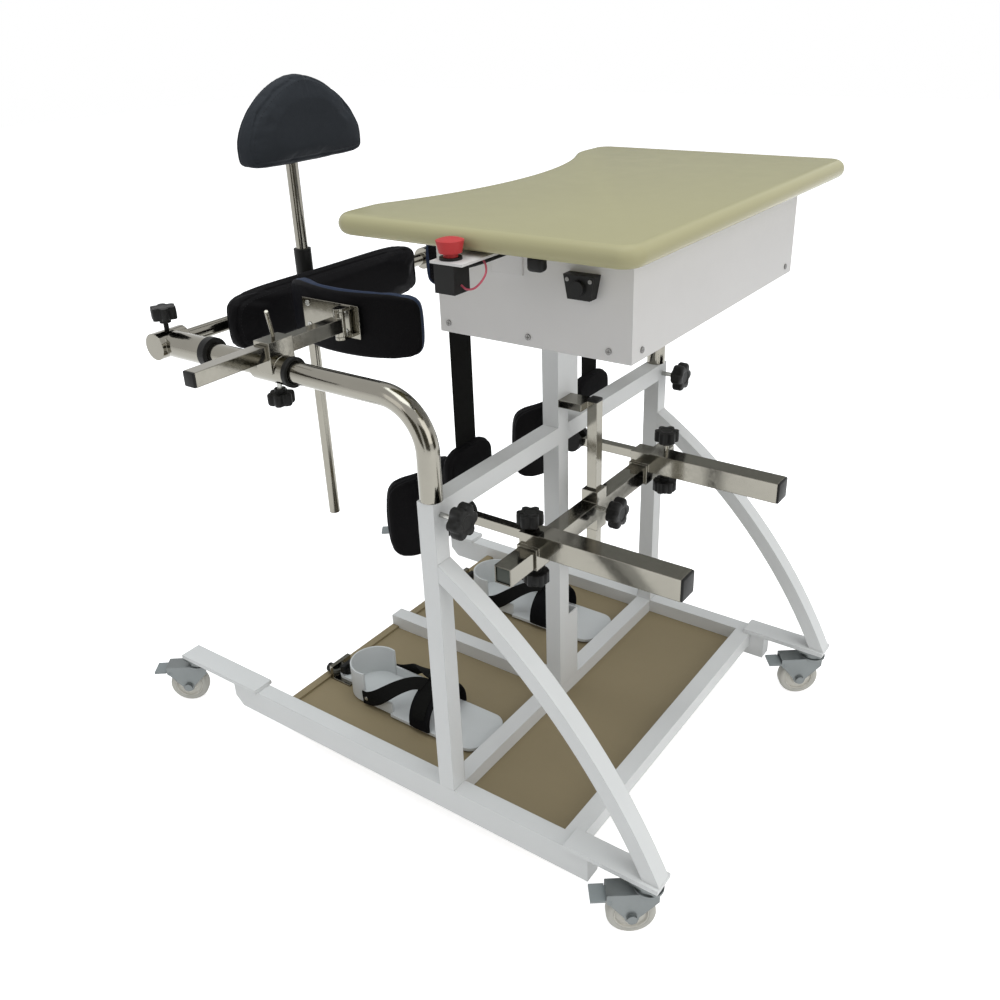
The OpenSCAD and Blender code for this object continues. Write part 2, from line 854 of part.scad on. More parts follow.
// One cheek of the fork as an outline in the plane of the wheel
module fork_cheek() {
    rear = pedal_u + pedal_boss;
    high = crown_low + over;
    difference() {
        union() {
            polygon([
                [-fork_front, high], [-fork_front, crown_low - fork_front],
                [castor_trail - axle_boss, wheel_r], [castor_trail + axle_boss, wheel_r],
                [rear, pedal_z], [rear, high]
            ]);
            translate([castor_trail, wheel_r]) circle(axle_boss);
            translate([pedal_u, pedal_z]) circle(pedal_boss);
        }
        translate([pedal_u, pedal_z]) circle(pedal_pin_r + run);
    }
}

module castor_fork(s, front) {
    wide = fork_in + fork_t;
    color("darkgray") at_castor(s, front) {
        translate([0, 0, crown_low]) cylinder(r = race_r + fork_t, h = crown_t);
        block([-fork_front, -wide, crown_low], [pedal_u + pedal_boss, wide, crown_low + fork_t]);
        translate([0, 0, crown_low]) cylinder(r = king_r, h = race_h + crown_t + fork_gap + over);
        for (v = [-fork_in, wide]) translate([0, v, 0]) rotate([90, 0, 0])
            linear_extrude(fork_t) fork_cheek();
        translate([castor_trail, 0, wheel_r]) {
            along_y(axle_r, -fork_in - over, fork_in + over);
            along_y(nut_r, -wide - nut_h, -wide + over);
            along_y(nut_r, wide - over, wide + nut_h);
        }
    }
}

module castor_wheel(s, front) {
    w = wheel_w / 2;
    bore = axle_r + run;
    color("gainsboro") at_castor(s, front) translate([castor_trail, 0, wheel_r]) rotate([90, 0, 0])
        rotate_extrude($fn = 96) difference() {
            union() {
                translate([bore, -w]) square([wheel_r - tread_round - bore, 2 * w]);
                translate([wheel_r - 2 * tread_round, tread_round - w])
                    square([2 * tread_round, 2 * (w - tread_round)]);
                for (v = [tread_round - w, w - tread_round])
                    translate([wheel_r - tread_round, v]) circle(tread_round);
            }
            for (v = [w - rim_dip, -w - over])
                translate([axle_r + hub_w, v]) square([wheel_r - axle_r - hub_w - rim_w, rim_dip + over]);
        }
}

module castor_brake(s, front) {
    color("gray") at_castor(s, front) translate([pedal_u, 0, pedal_z]) {
        along_y(pedal_boss - 1, -pedal_w / 2, pedal_w / 2);
        along_y(pedal_pin_r, -fork_in - fork_t, fork_in + fork_t);
        block([0, -pedal_w / 2, 0], [pedal_len, pedal_w / 2, pedal_t]);
        block([pedal_boss + pedal_gap, -pedal_wide / 2, 0], [pedal_len, pedal_wide / 2, pedal_t]);
    }
}

module foot_brackets() {
    p = foot_plate;
    base = board_top + bracket_base_t;
    pin_top = sole_z + sole_t + slide_gap;
    color("silver") at_posts() both_sides() translate([foot_x, -foot_pivot, 0]) {
        block([-p, -p, board_top + joint], [p, p, base]);
        block([-p, -p, board_top + joint], [p, heel_plate[0] - p, board_top + heel_plate[1]]);
        translate([0, 0, base - over]) cylinder(r = pivot_r, h = pin_top - base + 2 * over);
        translate([0, 0, pin_top]) cylinder(r = wing_hub[0], h = wing_hub[1]);
        translate([-wing[0] / 2, -wing[1] / 2, pin_top + wing_hub[1] / 2]) cube(wing);
        translate([p / 2, 0, board_top + heel_plate[1] / 2])
            along_y(side_wing[0], -p - side_wing[1], over - p);
    }
}

module foot_sole(s) {
    x = foot_w / 2;
    color("white") at_posts() on_side(s) translate([foot_x, 0, sole_z]) {
        difference() {
            linear_extrude(sole_t) {
                translate([0, heel_c]) circle(heel_r);
                translate([-heel_r, heel_c]) square([2 * heel_r, waist + over]);
                translate([-x, heel_c + waist]) square([2 * x, toe_end - toe_r - heel_c - waist]);
                for (u = [toe_r - x, x - toe_r]) translate([u, toe_end - toe_r]) circle(toe_r);
                translate([toe_r - x, toe_end - 2 * toe_r]) square([2 * (x - toe_r), 2 * toe_r]);
                translate([-tab_r, -foot_pivot]) square([2 * tab_r, heel_c + foot_pivot]);
                translate([0, -foot_pivot]) circle(tab_r);
            }
            translate([0, -foot_pivot, -over]) cylinder(r = pivot_r + run, h = sole_t + 2 * over);
        }
        translate([0, heel_c, sole_t - over]) difference() {
            cylinder(r = heel_r, h = heel_h);
            translate([0, 0, -over]) cylinder(r = heel_r - cup_wall, h = heel_h + 2 * over);
            translate([-foot_w, cup_front, -over]) cube([2 * foot_w, foot_w, heel_h + 2 * over]);
        }
        for (u = [-heel_r, heel_r - cup_wall])
            block([u, heel_c + cup_front - over, sole_t - over], [u + cup_wall, heel_c + waist, cup_side_h]);
    }
}

// One arched strap over the foot, standing just above the sole
module foot_band(r, y, rise) {
    intersection() {
        translate([0, y, rise]) difference() {
            along_y(r + strap_band, 0, strap_wide);
            along_y(r, -over, strap_wide + over);
        }
        block([-foot_w, y - over, rise], [foot_w, y + strap_wide + over, 2 * foot_w]);
    }
    both_sides() block([r, y, slide_gap], [r + strap_band, y + strap_wide, rise]);
}

module foot_strap(s) {
    r = heel_r + slide_gap;
    color("#181818") at_posts() on_side(s) translate([foot_x, 0, sole_z + sole_t]) {
        foot_band(r, ankle_y, ankle_rise);
        foot_band(r + instep_more, instep_y, instep_rise);
    }
}

module back_tubes() {
    rise = back_z - back_bend;
    spigot_low = post_top - spigot_len;
    color("silver") at_posts() both_sides() translate([rail_x, 0, 0]) {
        difference() {
            union() {
                translate([0, 0, spigot_low]) cylinder(r = post_bore, h = spigot_len + over);
                translate([0, 0, post_top + joint]) cylinder(r = back_r, h = rise - post_top - joint);
            }
            translate([0, 0, spigot_low - over])
                cylinder(r = post_bore - back_wall, h = rise - spigot_low + 2 * over);
        }
        translate([0, -back_bend, rise]) rotate([90, 0, 90]) rotate_extrude(angle = 90, $fn = 96)
            translate([back_bend, 0]) difference() {
                circle(back_r);
                circle(back_r - back_wall);
            }
        translate([0, 0, back_z]) difference() {
            along_y(back_r, -back_end, -back_bend);
            along_y(back_r - back_wall, -back_end - over, over - back_bend);
        }
    }
}

module back_bar() {
    color("silver") at_posts() {
        translate([0, bar_y, back_z]) {
            along_x(bar_r, -rail_x, rail_x);
            block([-pad_block[0] / 2, 0, -pad_block[1] / 2],
                  [pad_block[0] / 2, bar_r + pad_stand - pad_seat, pad_block[1] / 2]);
        }
        block([-head_link[0] / 2, link_y, back_z - head_link[1] / 2],
              [head_link[0] / 2, bar_y, back_z + head_link[1] / 2]);
        both_sides() translate([rail_x, 0, back_z]) difference() {
            union() {
                along_y(sleeve_r, sleeve_back, sleeve_front - collar_t);
                translate([0, bar_y, 0]) along_x(sleeve_r, -cross_sleeve / 2, cross_sleeve / 2);
            }
            along_y(back_r + run, -back_end - end_gap, sleeve_front + over);
        }
    }
}

module back_knobs() {
    link = [head_link[0] / 2 + joint, head_link[1] / 2 + joint];
    color("#1c1c1c") at_posts() {
        both_sides() translate([rail_x, 0, back_z]) {
            translate([0, bar_y, sleeve_r + joint]) lobe_knob(back_screw);
            difference() {
                along_y(collar_r, sleeve_front - collar_t + joint, sleeve_front);
                along_y(back_r + run, sleeve_front - 2 * collar_t, sleeve_front + over);
            }
        }
        difference() {
            translate([0, head_y, head_sleeve_low])
                cylinder(r = head_sleeve_r, h = head_sleeve_top - head_sleeve_low);
            translate([0, head_y, head_sleeve_low - over]) cylinder(r = head_r + run, h = head_sleeve_top);
            block([-link[0], link_y - joint, back_z - link[1]], [link[0], bar_y, back_z + link[1]]);
        }
    }
}

module back_pad() {
    color("#141417") at_posts() translate([0, back_pad_y, back_z + pad_up]) rotate([90, 0, 180])
        cushion(back_pad_w, back_pad_h, back_pad_t, 6);
}

module headrest_post() {
    x = head_plate[0] / 2;
    z = head_plate[1] / 2;
    color("silver") at_posts() {
        translate([0, head_y, head_post_low]) cylinder(r = head_r, h = head_post_top - head_post_low);
        block([-x, head_y, head_mid - z], [x, head_pad_y - pad_seat, head_mid + z]);
    }
}

module headrest_pad() {
    color("#2b2e38") at_posts() translate([0, head_pad_y, head_z + head_h * dome_low]) rotate([90, 0, 180])
        cushion(head_w, head_h, head_t, dome = true);
}

module side_clamp(s) {
    y = bar_gap + clamp_wall;
    top = side_z + bar_gap + clamp_wall;
    color("silver") at_posts() on_side(s) translate([rail_x, -side_y, 0]) difference() {
        union() {
            translate([0, 0, back_z]) along_y(sleeve_r, -side_sleeve / 2, side_sleeve / 2);
            block([-clamp_half, -y, back_z], [clamp_half, y, top]);
            translate([-lever_in, -lever_in, top - over]) rotate(lever_lean)
                cylinder(r = lever_r, h = lever_len);
        }
        translate([0, 0, back_z]) along_y(back_r + run, -side_sleeve, side_sleeve);
        block([-2 * clamp_half, -bar_gap, side_z - bar_gap], [2 * clamp_half, bar_gap, side_z + bar_gap]);
        translate([0, 0, back_z - 2 * sleeve_r]) cylinder(r = screw_r + run, h = 2 * sleeve_r);
    }
}

module side_bar(s) {
    b = side_bar / 2;
    in = b - side_wall;
    x = side_hinge + slid(s);
    color("silver") at_posts() on_side(s) translate([0, -side_y, side_z]) difference() {
        union() {
            block([x + hinge_pin_r + side_wall, -b, -b], [side_out, b, b]);
            translate([x, 0, -knuckle_h / 2]) cylinder(r = knuckle_r, h = knuckle_h);
        }
        translate([x, 0, -knuckle_h]) cylinder(r = hinge_pin_r + run, h = 2 * knuckle_h);
        block([x + 2 * knuckle_r, -in, -in], [side_out - cap_t, in, in]);
    }
}

module side_plate(s) {
    ear = knuckle_h / 2 + slide_gap;
    color("silver") at_posts() on_side(s) translate([slid(s), 0, 0]) {
        block([plate_x, plate_y - plate_len / 2, side_z - plate_h / 2],
              [plate_x + plate_t, plate_y + plate_len / 2, side_z + plate_h / 2]);
        translate([side_hinge, -side_y, side_z]) {
            for (z = [ear, -ear - ear_t]) {
                translate([0, 0, z]) cylinder(r = knuckle_r, h = ear_t);
                block([plate_x + plate_t - over - side_hinge, -knuckle_r, z], [0, knuckle_r, z + ear_t]);
            }
            translate([0, 0, -ear - ear_t]) cylinder(r = hinge_pin_r, h = 2 * (ear + ear_t));
        }
    }
}

module side_pad(s) {
    color("#141417") at_posts() on_side(s)
        translate([side_pad_x + slid(s), -side_y - side_pad_back, side_z - side_pad_drop]) mirror([1, 0, 0])
            rotate([90, 0, 90]) cushion(side_pad_len, side_pad_h, side_pad_t, 6, side_pad_bend);
}

module side_knob(s) {
    color("#1c1c1c") at_posts() on_side(s) translate([rail_x, -side_y, back_z - back_r - slide_gap])
        rotate([180, 0, 0]) lobe_knob(side_screw);
}

module knee_crossbar() {
    b = knee_bar / 2;
    g = guide_w / 2 + slide_gap;
    w = slider_w / 2;
    in = b - bar_wall;
    color("silver") at_posts() translate([0, guide_y, knee_z]) difference() {
        union() {
            block([-w, -w, -slider_h / 2], [w, w, slider_h / 2]);
            block([-knee_half, -b, -b], [knee_half, b, b]);
        }
        block([-g, -g, -slider_h], [g, g, slider_h]);
        along_y(screw_r + run, 0, 2 * w);
        both_sides() block([w, -in, -in], [knee_half + over, in, in]);
    }
}

module knee_knob() {
    color("#1c1c1c") at_posts() translate([0, guide_y + guide_w / 2 + slide_gap, knee_z]) rotate([-90, 0, 0])
        lobe_knob(knee_screw, big_knob_r);
}

module knee_arm(s) {
    t = knee_tube / 2;
    y0 = guide_y - sleeve_o;
    y1 = guide_y + sleeve_o;
    color("silver") at_posts() on_side(s) translate([knee_x, 0, 0]) {
        difference() {
            union() {
                block([-t, arm_start, tube_z - t], [t, knee_front, tube_z + t]);
                block([-arm_sleeve / 2, y0, knee_z - sleeve_o], [arm_sleeve / 2, y1, knee_z + sleeve_o]);
                block([-t, y0, knee_z], [t, y1, arm_block_top]);
            }
            block([-rod_gap, y0 - over, rod_z - rod_gap],
                  [rod_gap, knee_front - arm_end_wall, rod_z + rod_gap]);
            block([-arm_sleeve, guide_y - sleeve_q, knee_z - sleeve_q],
                  [arm_sleeve, guide_y + sleeve_q, knee_z + sleeve_q]);
        }
        if (s > 0) {
            translate([0, arm_clamp_y, arm_block_top + joint]) lobe_knob(arm_screw_rear);
            translate([0, guide_y, knee_z - sleeve_o - joint]) rotate([180, 0, 0]) lobe_knob(arm_screw_back);
        } else {
            translate([0, arm_knob_y, tube_z + t + joint]) lobe_knob(arm_screw_top);
            translate([0, arm_knob_y, tube_z - t - joint]) rotate([180, 0, 0]) lobe_knob(arm_screw_low);
        }
    }
}

module knee_rod(s) {
    r = knee_rod / 2;
    color("silver") at_posts() on_side(s) translate([knee_x, 0, rod_z]) difference() {
        union() {
            block([-r, -knee_hinge, -r], [r, rod_front, r]);
            translate([0, -knee_hinge, 0]) along_x(r, -r, r);
        }
        translate([0, -knee_hinge, 0]) along_x(hinge_pin_r + run, -knee_rod, knee_rod);
    }
}

module knee_bracket(s) {
    e = knee_rod / 2 + bracket_gap;
    p = bracket_plate;
    color("#1c1c1c") at_posts() on_side(s) translate([knee_x, -knee_hinge, rod_z]) {
        block([-p[0] / 2, pad_seat - bracket_len - p[2], -p[1] / 2], [p[0] / 2, -bracket_len, p[1] / 2]);
        for (x = [e, -e - bracket_t]) {
            along_x(bracket_r, x, x + bracket_t);
            block([x, -bracket_len - over, -bracket_r], [x + bracket_t, 0, bracket_r]);
        }
        along_x(hinge_pin_r, -e - bracket_t, e + bracket_t);
    }
}

module knee_pad(s) {
    color("#141417") at_posts() on_side(s) translate([knee_x, knee_pad_y, rod_z - knee_pad_drop])
        rotate([90, 0, 0]) cushion(knee_pad_w, knee_pad_h, knee_pad_t, 5, knee_pad_bend);
}

module post_knob(s) {
    color("#1c1c1c") at_posts() on_side(s)
        translate([rail_x, post_bore + slide_gap, post_top - post_knob_drop]) rotate([-90, 0, 0])
            lobe_knob(post_screw, big_knob_r);
}

base_frame();
uprights();
arch_braces();
floor_boards();
knee_guide();
housing();
tray();
stop_base();
hand_socket();
drive_unit();
winch_shaft();
lift_straps();
sling_pads();
castor_heads();
foot_brackets();
castor_fork(1, true);  // castor_fork_front_right
castor_fork(-1, true);  // castor_fork_front_left
castor_fork(1, false);  // castor_fork_rear_right
castor_fork(-1, false);  // castor_fork_rear_left
castor_wheel(1, true);  // castor_wheel_front_right
castor_wheel(-1, true);  // castor_wheel_front_left
castor_wheel(1, false);  // castor_wheel_rear_right
castor_wheel(-1, false);  // castor_wheel_rear_left
castor_brake(1, true);  // castor_brake_front_right
castor_brake(-1, true);  // castor_brake_front_left
castor_brake(1, false);  // castor_brake_rear_right
castor_brake(-1, false);  // castor_brake_rear_left
foot_sole(1);  // foot_sole_right
foot_sole(-1);  // foot_sole_left
foot_strap(1);  // foot_strap_right
foot_strap(-1);  // foot_strap_left
back_tubes();
back_bar();
back_knobs();
back_pad();
headrest_post();
headrest_pad();
side_clamp(1);  // side_clamp_right
side_clamp(-1);  // side_clamp_left
side_bar(1);  // side_bar_right
side_bar(-1);  // side_bar_left
side_plate(1);  // side_plate_right
side_plate(-1);  // side_plate_left
side_pad(1);  // side_pad_right
side_pad(-1);  // side_pad_left
side_knob(1);  // side_knob_right
side_knob(-1);  // side_knob_left
knee_crossbar();
knee_arm(1);  // knee_arm_right
knee_arm(-1);  // knee_arm_left
knee_rod(1);  // knee_rod_right
knee_rod(-1);  // knee_rod_left
knee_bracket(1);  // knee_bracket_right
knee_bracket(-1);  // knee_bracket_left
knee_pad(1);  // knee_pad_right
knee_pad(-1);  // knee_pad_left
knee_knob();
post_knob(1);  // post_knob_right
post_knob(-1);  // post_knob_left
stop_button();
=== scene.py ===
"""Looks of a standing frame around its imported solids: finishes, upholstery, trim and a plain studio."""

import json
import logging
import math
from dataclasses import dataclass, field
from enum import Enum
from typing import Any, Callable, Iterable, Sequence

import bmesh
import bpy
import numpy as np
from bpy.types import ID, Material, Mesh, Node, NodeSocket, NodeTree, Object
from mathutils import Matrix, Vector
from mathutils.bvhtree import BVHTree


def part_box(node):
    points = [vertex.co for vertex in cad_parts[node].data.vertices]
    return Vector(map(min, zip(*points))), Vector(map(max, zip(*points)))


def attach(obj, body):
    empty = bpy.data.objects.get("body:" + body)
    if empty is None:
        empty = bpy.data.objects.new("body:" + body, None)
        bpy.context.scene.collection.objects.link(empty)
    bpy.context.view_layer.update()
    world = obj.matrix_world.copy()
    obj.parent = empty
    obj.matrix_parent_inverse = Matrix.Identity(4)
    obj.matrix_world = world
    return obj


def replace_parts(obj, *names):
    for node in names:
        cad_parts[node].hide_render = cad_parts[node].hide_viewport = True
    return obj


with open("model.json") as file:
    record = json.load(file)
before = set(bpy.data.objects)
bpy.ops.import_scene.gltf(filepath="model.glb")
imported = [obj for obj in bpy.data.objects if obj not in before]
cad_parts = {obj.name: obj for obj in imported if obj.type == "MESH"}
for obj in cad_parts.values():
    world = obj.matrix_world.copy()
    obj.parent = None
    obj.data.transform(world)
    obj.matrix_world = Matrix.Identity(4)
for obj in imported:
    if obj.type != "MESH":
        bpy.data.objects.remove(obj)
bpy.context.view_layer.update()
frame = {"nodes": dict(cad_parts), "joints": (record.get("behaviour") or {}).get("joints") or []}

LOG = logging.getLogger("standing_frame")
SIDES = {"right": 1, "left": -1}
# Millimetres in a metre, and a length in metres that is next to nothing
MM, TINY = 1000, 1e-6
CASTORS = [f"{end}_{side}" for end in ("front", "rear") for side in SIDES]
Point = Sequence[float]
Rgb = tuple[int, int, int]
Spot = tuple[float, float]
Filling = Callable[[NodeTree, NodeSocket], dict[str, NodeSocket]]


class Place:
    """Places that several pieces share, in millimetres: across, ahead of the posts, and up."""

    POST_X = 340.0
    FOOT_X = 196.0
    LIFT_X = 185.0
    KNEE_X = 178.0
    GUIDE_Y = 66.0
    SIDE_BAR_Y = -286.0
    SIDE_BAR_Z = 798.4
    # How far ahead the upper and the lower clamp knob of each knee arm are
    KNEE_GRIPS = {"right": (56.8, GUIDE_Y), "left": (108.4, 108.4)}


def linear(color: Rgb) -> tuple[float, float, float, float]:
    """Turn a display colour into the linear colour that a shader takes.

    Args:
        color: Red, green and blue from 0 to 255.

    Returns:
        Linear red, green, blue and full alpha.
    """
    shares = [value / 255 for value in color]
    return (*[s / 12.92 if s <= 0.04045 else ((s + 0.055) / 1.055) ** 2.4 for s in shares], 1.0)


class Grain(Enum):
    """Fine relief that a finish carries."""

    PEEL = "peel"
    PEBBLE = "pebble"
    FIBRE = "fibre"
    WEAVE = "weave"


def feed(tree: NodeTree, value: Any, target: NodeSocket) -> None:
    """Link an input to the socket that feeds it, or set it to a plain value."""
    if isinstance(value, NodeSocket):
        tree.links.new(value, target)
    else:
        target.default_value = value


def node(tree: NodeTree, kind: str, values: dict[Any, Any] | None = None, **settings: Any) -> Node:
    """Add a node with its settings and inputs.

    Args:
        tree: Node tree that takes the node.
        kind: Blender's name of the node type.
        values: Value of each input by name or index, or the socket that feeds it.
        **settings: Properties of the node.

    Returns:
        The new node.
    """
    made = tree.nodes.new(kind)
    for key, value in settings.items():
        setattr(made, key, value)
    for key, value in (values or {}).items():
        feed(tree, value, made.inputs[key])
    return made


def times(tree: NodeTree, first: Any, second: Any) -> NodeSocket:
    """Return the product of two values or sockets."""
    return node(tree, "ShaderNodeMath", {0: first, 1: second}, operation="MULTIPLY").outputs[0]


class Effects:
    """Shader node groups that several finishes share, each built once."""

    FLOAT, VECTOR = "NodeSocketFloat", "NodeSocketVector"
    FIBRE_STRETCH = (1.0, 0.05, 1.0)
    FINE_RATIO = 11.0
    MASK_GAIN = 5.0

    def __init__(self) -> None:
        """Start with no group built."""
        self.made: dict[str, NodeTree] = {}

    def group(self, name: str, size: str, outputs: dict[str, str], fill: Filling) -> NodeTree:
        """Return a group, building it on first use.

        Args:
            name: Name of the group.
            size: Name of its input.
            outputs: Socket kind of each output by name.
            fill: Builds its nodes and returns the socket of each output.

        Returns:
            The group.
        """
        if name not in self.made:
            tree = self.made[name] = bpy.data.node_groups.new(name, "ShaderNodeTree")
            tree.interface.new_socket(size, in_out="INPUT", socket_type=self.FLOAT)
            for label, kind in outputs.items():
                tree.interface.new_socket(label, in_out="OUTPUT", socket_type=kind)
            source = tree.nodes.new("NodeGroupInput")
            node(tree, "NodeGroupOutput", fill(tree, source.outputs[size]))
        return self.made[name]

    def mottling(self) -> NodeTree:
        """Return the group of broad and fine cloudy variation over a surface."""
        return self.group("mottling", "Scale", {"Broad": self.FLOAT, "Fine": self.FLOAT}, self.clouds)

    def clouds(self, tree: NodeTree, scale: NodeSocket) -> dict[str, NodeSocket]:
        """Build a broad noise and a finer one."""
        place = node(tree, "ShaderNodeTexCoord").outputs["Object"]
        made = {}
        for label, size, detail, roughness in (
            ("Broad", scale, 4.0, 0.6), ("Fine", times(tree, scale, self.FINE_RATIO), 3.0, 0.55),
        ):
            values = {"Vector": place, "Scale": size, "Detail": detail, "Roughness": roughness}
            made[label] = node(tree, "ShaderNodeTexNoise", values).outputs["Fac"]
        return made

    def edges(self) -> NodeTree:
        """Return the group that rounds sharp edges in the shading and masks them."""
        outputs = {"Mask": self.FLOAT, "Normal": self.VECTOR}
        return self.group("soft_edges", "Radius", outputs, self.rounding)

    def rounding(self, tree: NodeTree, radius: NodeSocket) -> dict[str, NodeSocket]:
        """Build the rounded normal and the mask of where it leaves the face's own."""
        bevel = node(tree, "ShaderNodeBevel", {"Radius": radius}, samples=4).outputs["Normal"]
        face = node(tree, "ShaderNodeNewGeometry").outputs["Normal"]
        dot = node(tree, "ShaderNodeVectorMath", {0: bevel, 1: face}, operation="DOT_PRODUCT")
        lack = node(tree, "ShaderNodeMath", {0: 1.0, 1: dot.outputs["Value"]}, operation="SUBTRACT")
        gain = {0: lack.outputs[0], 1: self.MASK_GAIN}
        mask = node(tree, "ShaderNodeMath", gain, operation="MULTIPLY", use_clamp=True)
        return {"Mask": mask.outputs[0], "Normal": bevel}

    def grain(self, kind: Grain) -> NodeTree:
        """Return the group of a fine relief, with a Scale input and a Height output."""
        name = f"grain_{kind.value}"
        return self.group(name, "Scale", {"Height": self.FLOAT}, lambda *ends: self.relief(kind, *ends))

    def relief(self, kind: Grain, tree: NodeTree, scale: NodeSocket) -> dict[str, NodeSocket]:
        """Build a relief: crossed ribs on the piece's own map, cells for pebbles, or noise.

        Args:
            kind: Which relief.
            tree: Group that the nodes go into.
            scale: Socket of the group's input.

        Returns:
            The socket of the height.
        """
        place = node(tree, "ShaderNodeTexCoord").outputs
        if kind is Grain.WEAVE:
            ribs = {"Vector": place["UV"], "Scale": scale}
            waves = [node(tree, "ShaderNodeTexWave", ribs, bands_direction=way) for way in "XY"]
            return {"Height": times(tree, *(wave.outputs["Fac"] for wave in waves))}
        spot = place["Object"]
        if kind is Grain.PEBBLE:
            cells = {"Vector": spot, "Scale": scale, "Smoothness": 0.6}
            made = node(tree, "ShaderNodeTexVoronoi", cells, feature="SMOOTH_F1")
            return {"Height": made.outputs["Distance"]}
        if kind is Grain.FIBRE:
            spot = node(tree, "ShaderNodeMapping", {"Vector": spot, "Scale": self.FIBRE_STRETCH}).outputs[0]
        noise = node(tree, "ShaderNodeTexNoise", {"Vector": spot, "Scale": scale, "Detail": 3.0})
        return {"Height": noise.outputs["Fac"]}


EFFECTS = Effects()


@dataclass(frozen=True)
class Finish:
    """One surface finish, made as a procedural material."""

    name: str
    slot: str
    color: Rgb
    roughness: float
    metallic: float = 0.0
    specular: float = 0.5
    sheen: float = 0.0
    sheen_color: Rgb = (255, 255, 255)
    grain: Grain = Grain.PEEL
    grain_scale: float = 700.0
    grain_depth: float = 0.00004
    cloud_scale: float = 7.0
    cloud: float = 0.05
    rough_vary: float = 0.08
    edge_radius: float = 0.0012
    wear: float = 0.0
    wear_color: Rgb = (120, 118, 114)

    SMOOTHEST = 0.02
    # Numbers of a mix node's colour sockets
    MIX_A, MIX_B, MIX_RESULT = 6, 7, 2

    def material(self) -> Material:
        """Return the material of this finish, building it on first use."""
        found = bpy.data.materials.get(self.name)
        if found:
            return found
        made = bpy.data.materials.new(self.name)
        made.use_nodes = True
        tree = made.node_tree
        clouds = self.place(tree, EFFECTS.mottling(), "Scale", self.cloud_scale)
        edges = self.place(tree, EFFECTS.edges(), "Radius", self.edge_radius) if self.edge_radius else {}
        spread = node(tree, "ShaderNodeMapRange", {
            "Value": clouds["Fine"],
            "To Min": max(self.SMOOTHEST, self.roughness - self.rough_vary),
            "To Max": min(1.0, self.roughness + self.rough_vary),
        })
        values = {
            "Metallic": self.metallic, "Specular IOR Level": self.specular, "Sheen Weight": self.sheen,
            "Sheen Tint": linear(self.sheen_color), "Base Color": self.tint(tree, clouds, edges),
            "Roughness": spread.outputs["Result"],
        }
        if self.grain_depth:
            relief = self.place(tree, EFFECTS.grain(self.grain), "Scale", self.grain_scale)
            bump = {"Strength": 1.0, "Distance": self.grain_depth, "Height": relief["Height"]}
            if edges:
                bump["Normal"] = edges["Normal"]
            values["Normal"] = node(tree, "ShaderNodeBump", bump).outputs["Normal"]
        shader = tree.nodes["Principled BSDF"]
        for label, value in values.items():
            feed(tree, value, shader.inputs[label])
        return made

    @staticmethod
    def place(tree: NodeTree, group: NodeTree, size: str, value: float) -> Any:
        """Put a shared effect into a material with this finish's own value, and return its outputs."""
        return node(tree, "ShaderNodeGroup", {size: value}, node_tree=group).outputs

    def tint(self, tree: NodeTree, clouds: Any, edges: Any) -> NodeSocket:
        """Vary the colour over the surface and towards worn edges.

        Args:
            tree: The material's tree.
            clouds: Outputs of the mottling effect.
            edges: Outputs of the edge effect, where the finish has one.

        Returns:
            The colour socket.
        """
        mix: dict[int, Any] = {0: clouds["Broad"]}
        for number, share in ((self.MIX_A, 1 - self.cloud), (self.MIX_B, 1 + self.cloud)):
            mix[number] = (*(min(1.0, value * share) for value in linear(self.color)[:3]), 1.0)
        colored = node(tree, "ShaderNodeMix", mix, data_type="RGBA").outputs[self.MIX_RESULT]
        if not edges or self.wear == 0:
            return colored
        patchy = times(tree, times(tree, edges["Mask"], self.wear), clouds["Fine"])
        worn = {0: patchy, self.MIX_A: colored, self.MIX_B: linear(self.wear_color)}
        return node(tree, "ShaderNodeMix", worn, data_type="RGBA").outputs[self.MIX_RESULT]


@dataclass(frozen=True)
class Upholstery(Finish):
    """A soft pebbled cover."""

    grain: Grain = Grain.PEBBLE
    grain_depth: float = 0.0002
    cloud_scale: float = 9.0
    rough_vary: float = 0.1
    edge_radius: float = 0.0


@dataclass(frozen=True)
class Strapping(Finish):
    """A coarse black band."""

    grain_depth: float = 0.00015
    cloud_scale: float = 18.0
    cloud: float = 0.2
    edge_radius: float = 0.0


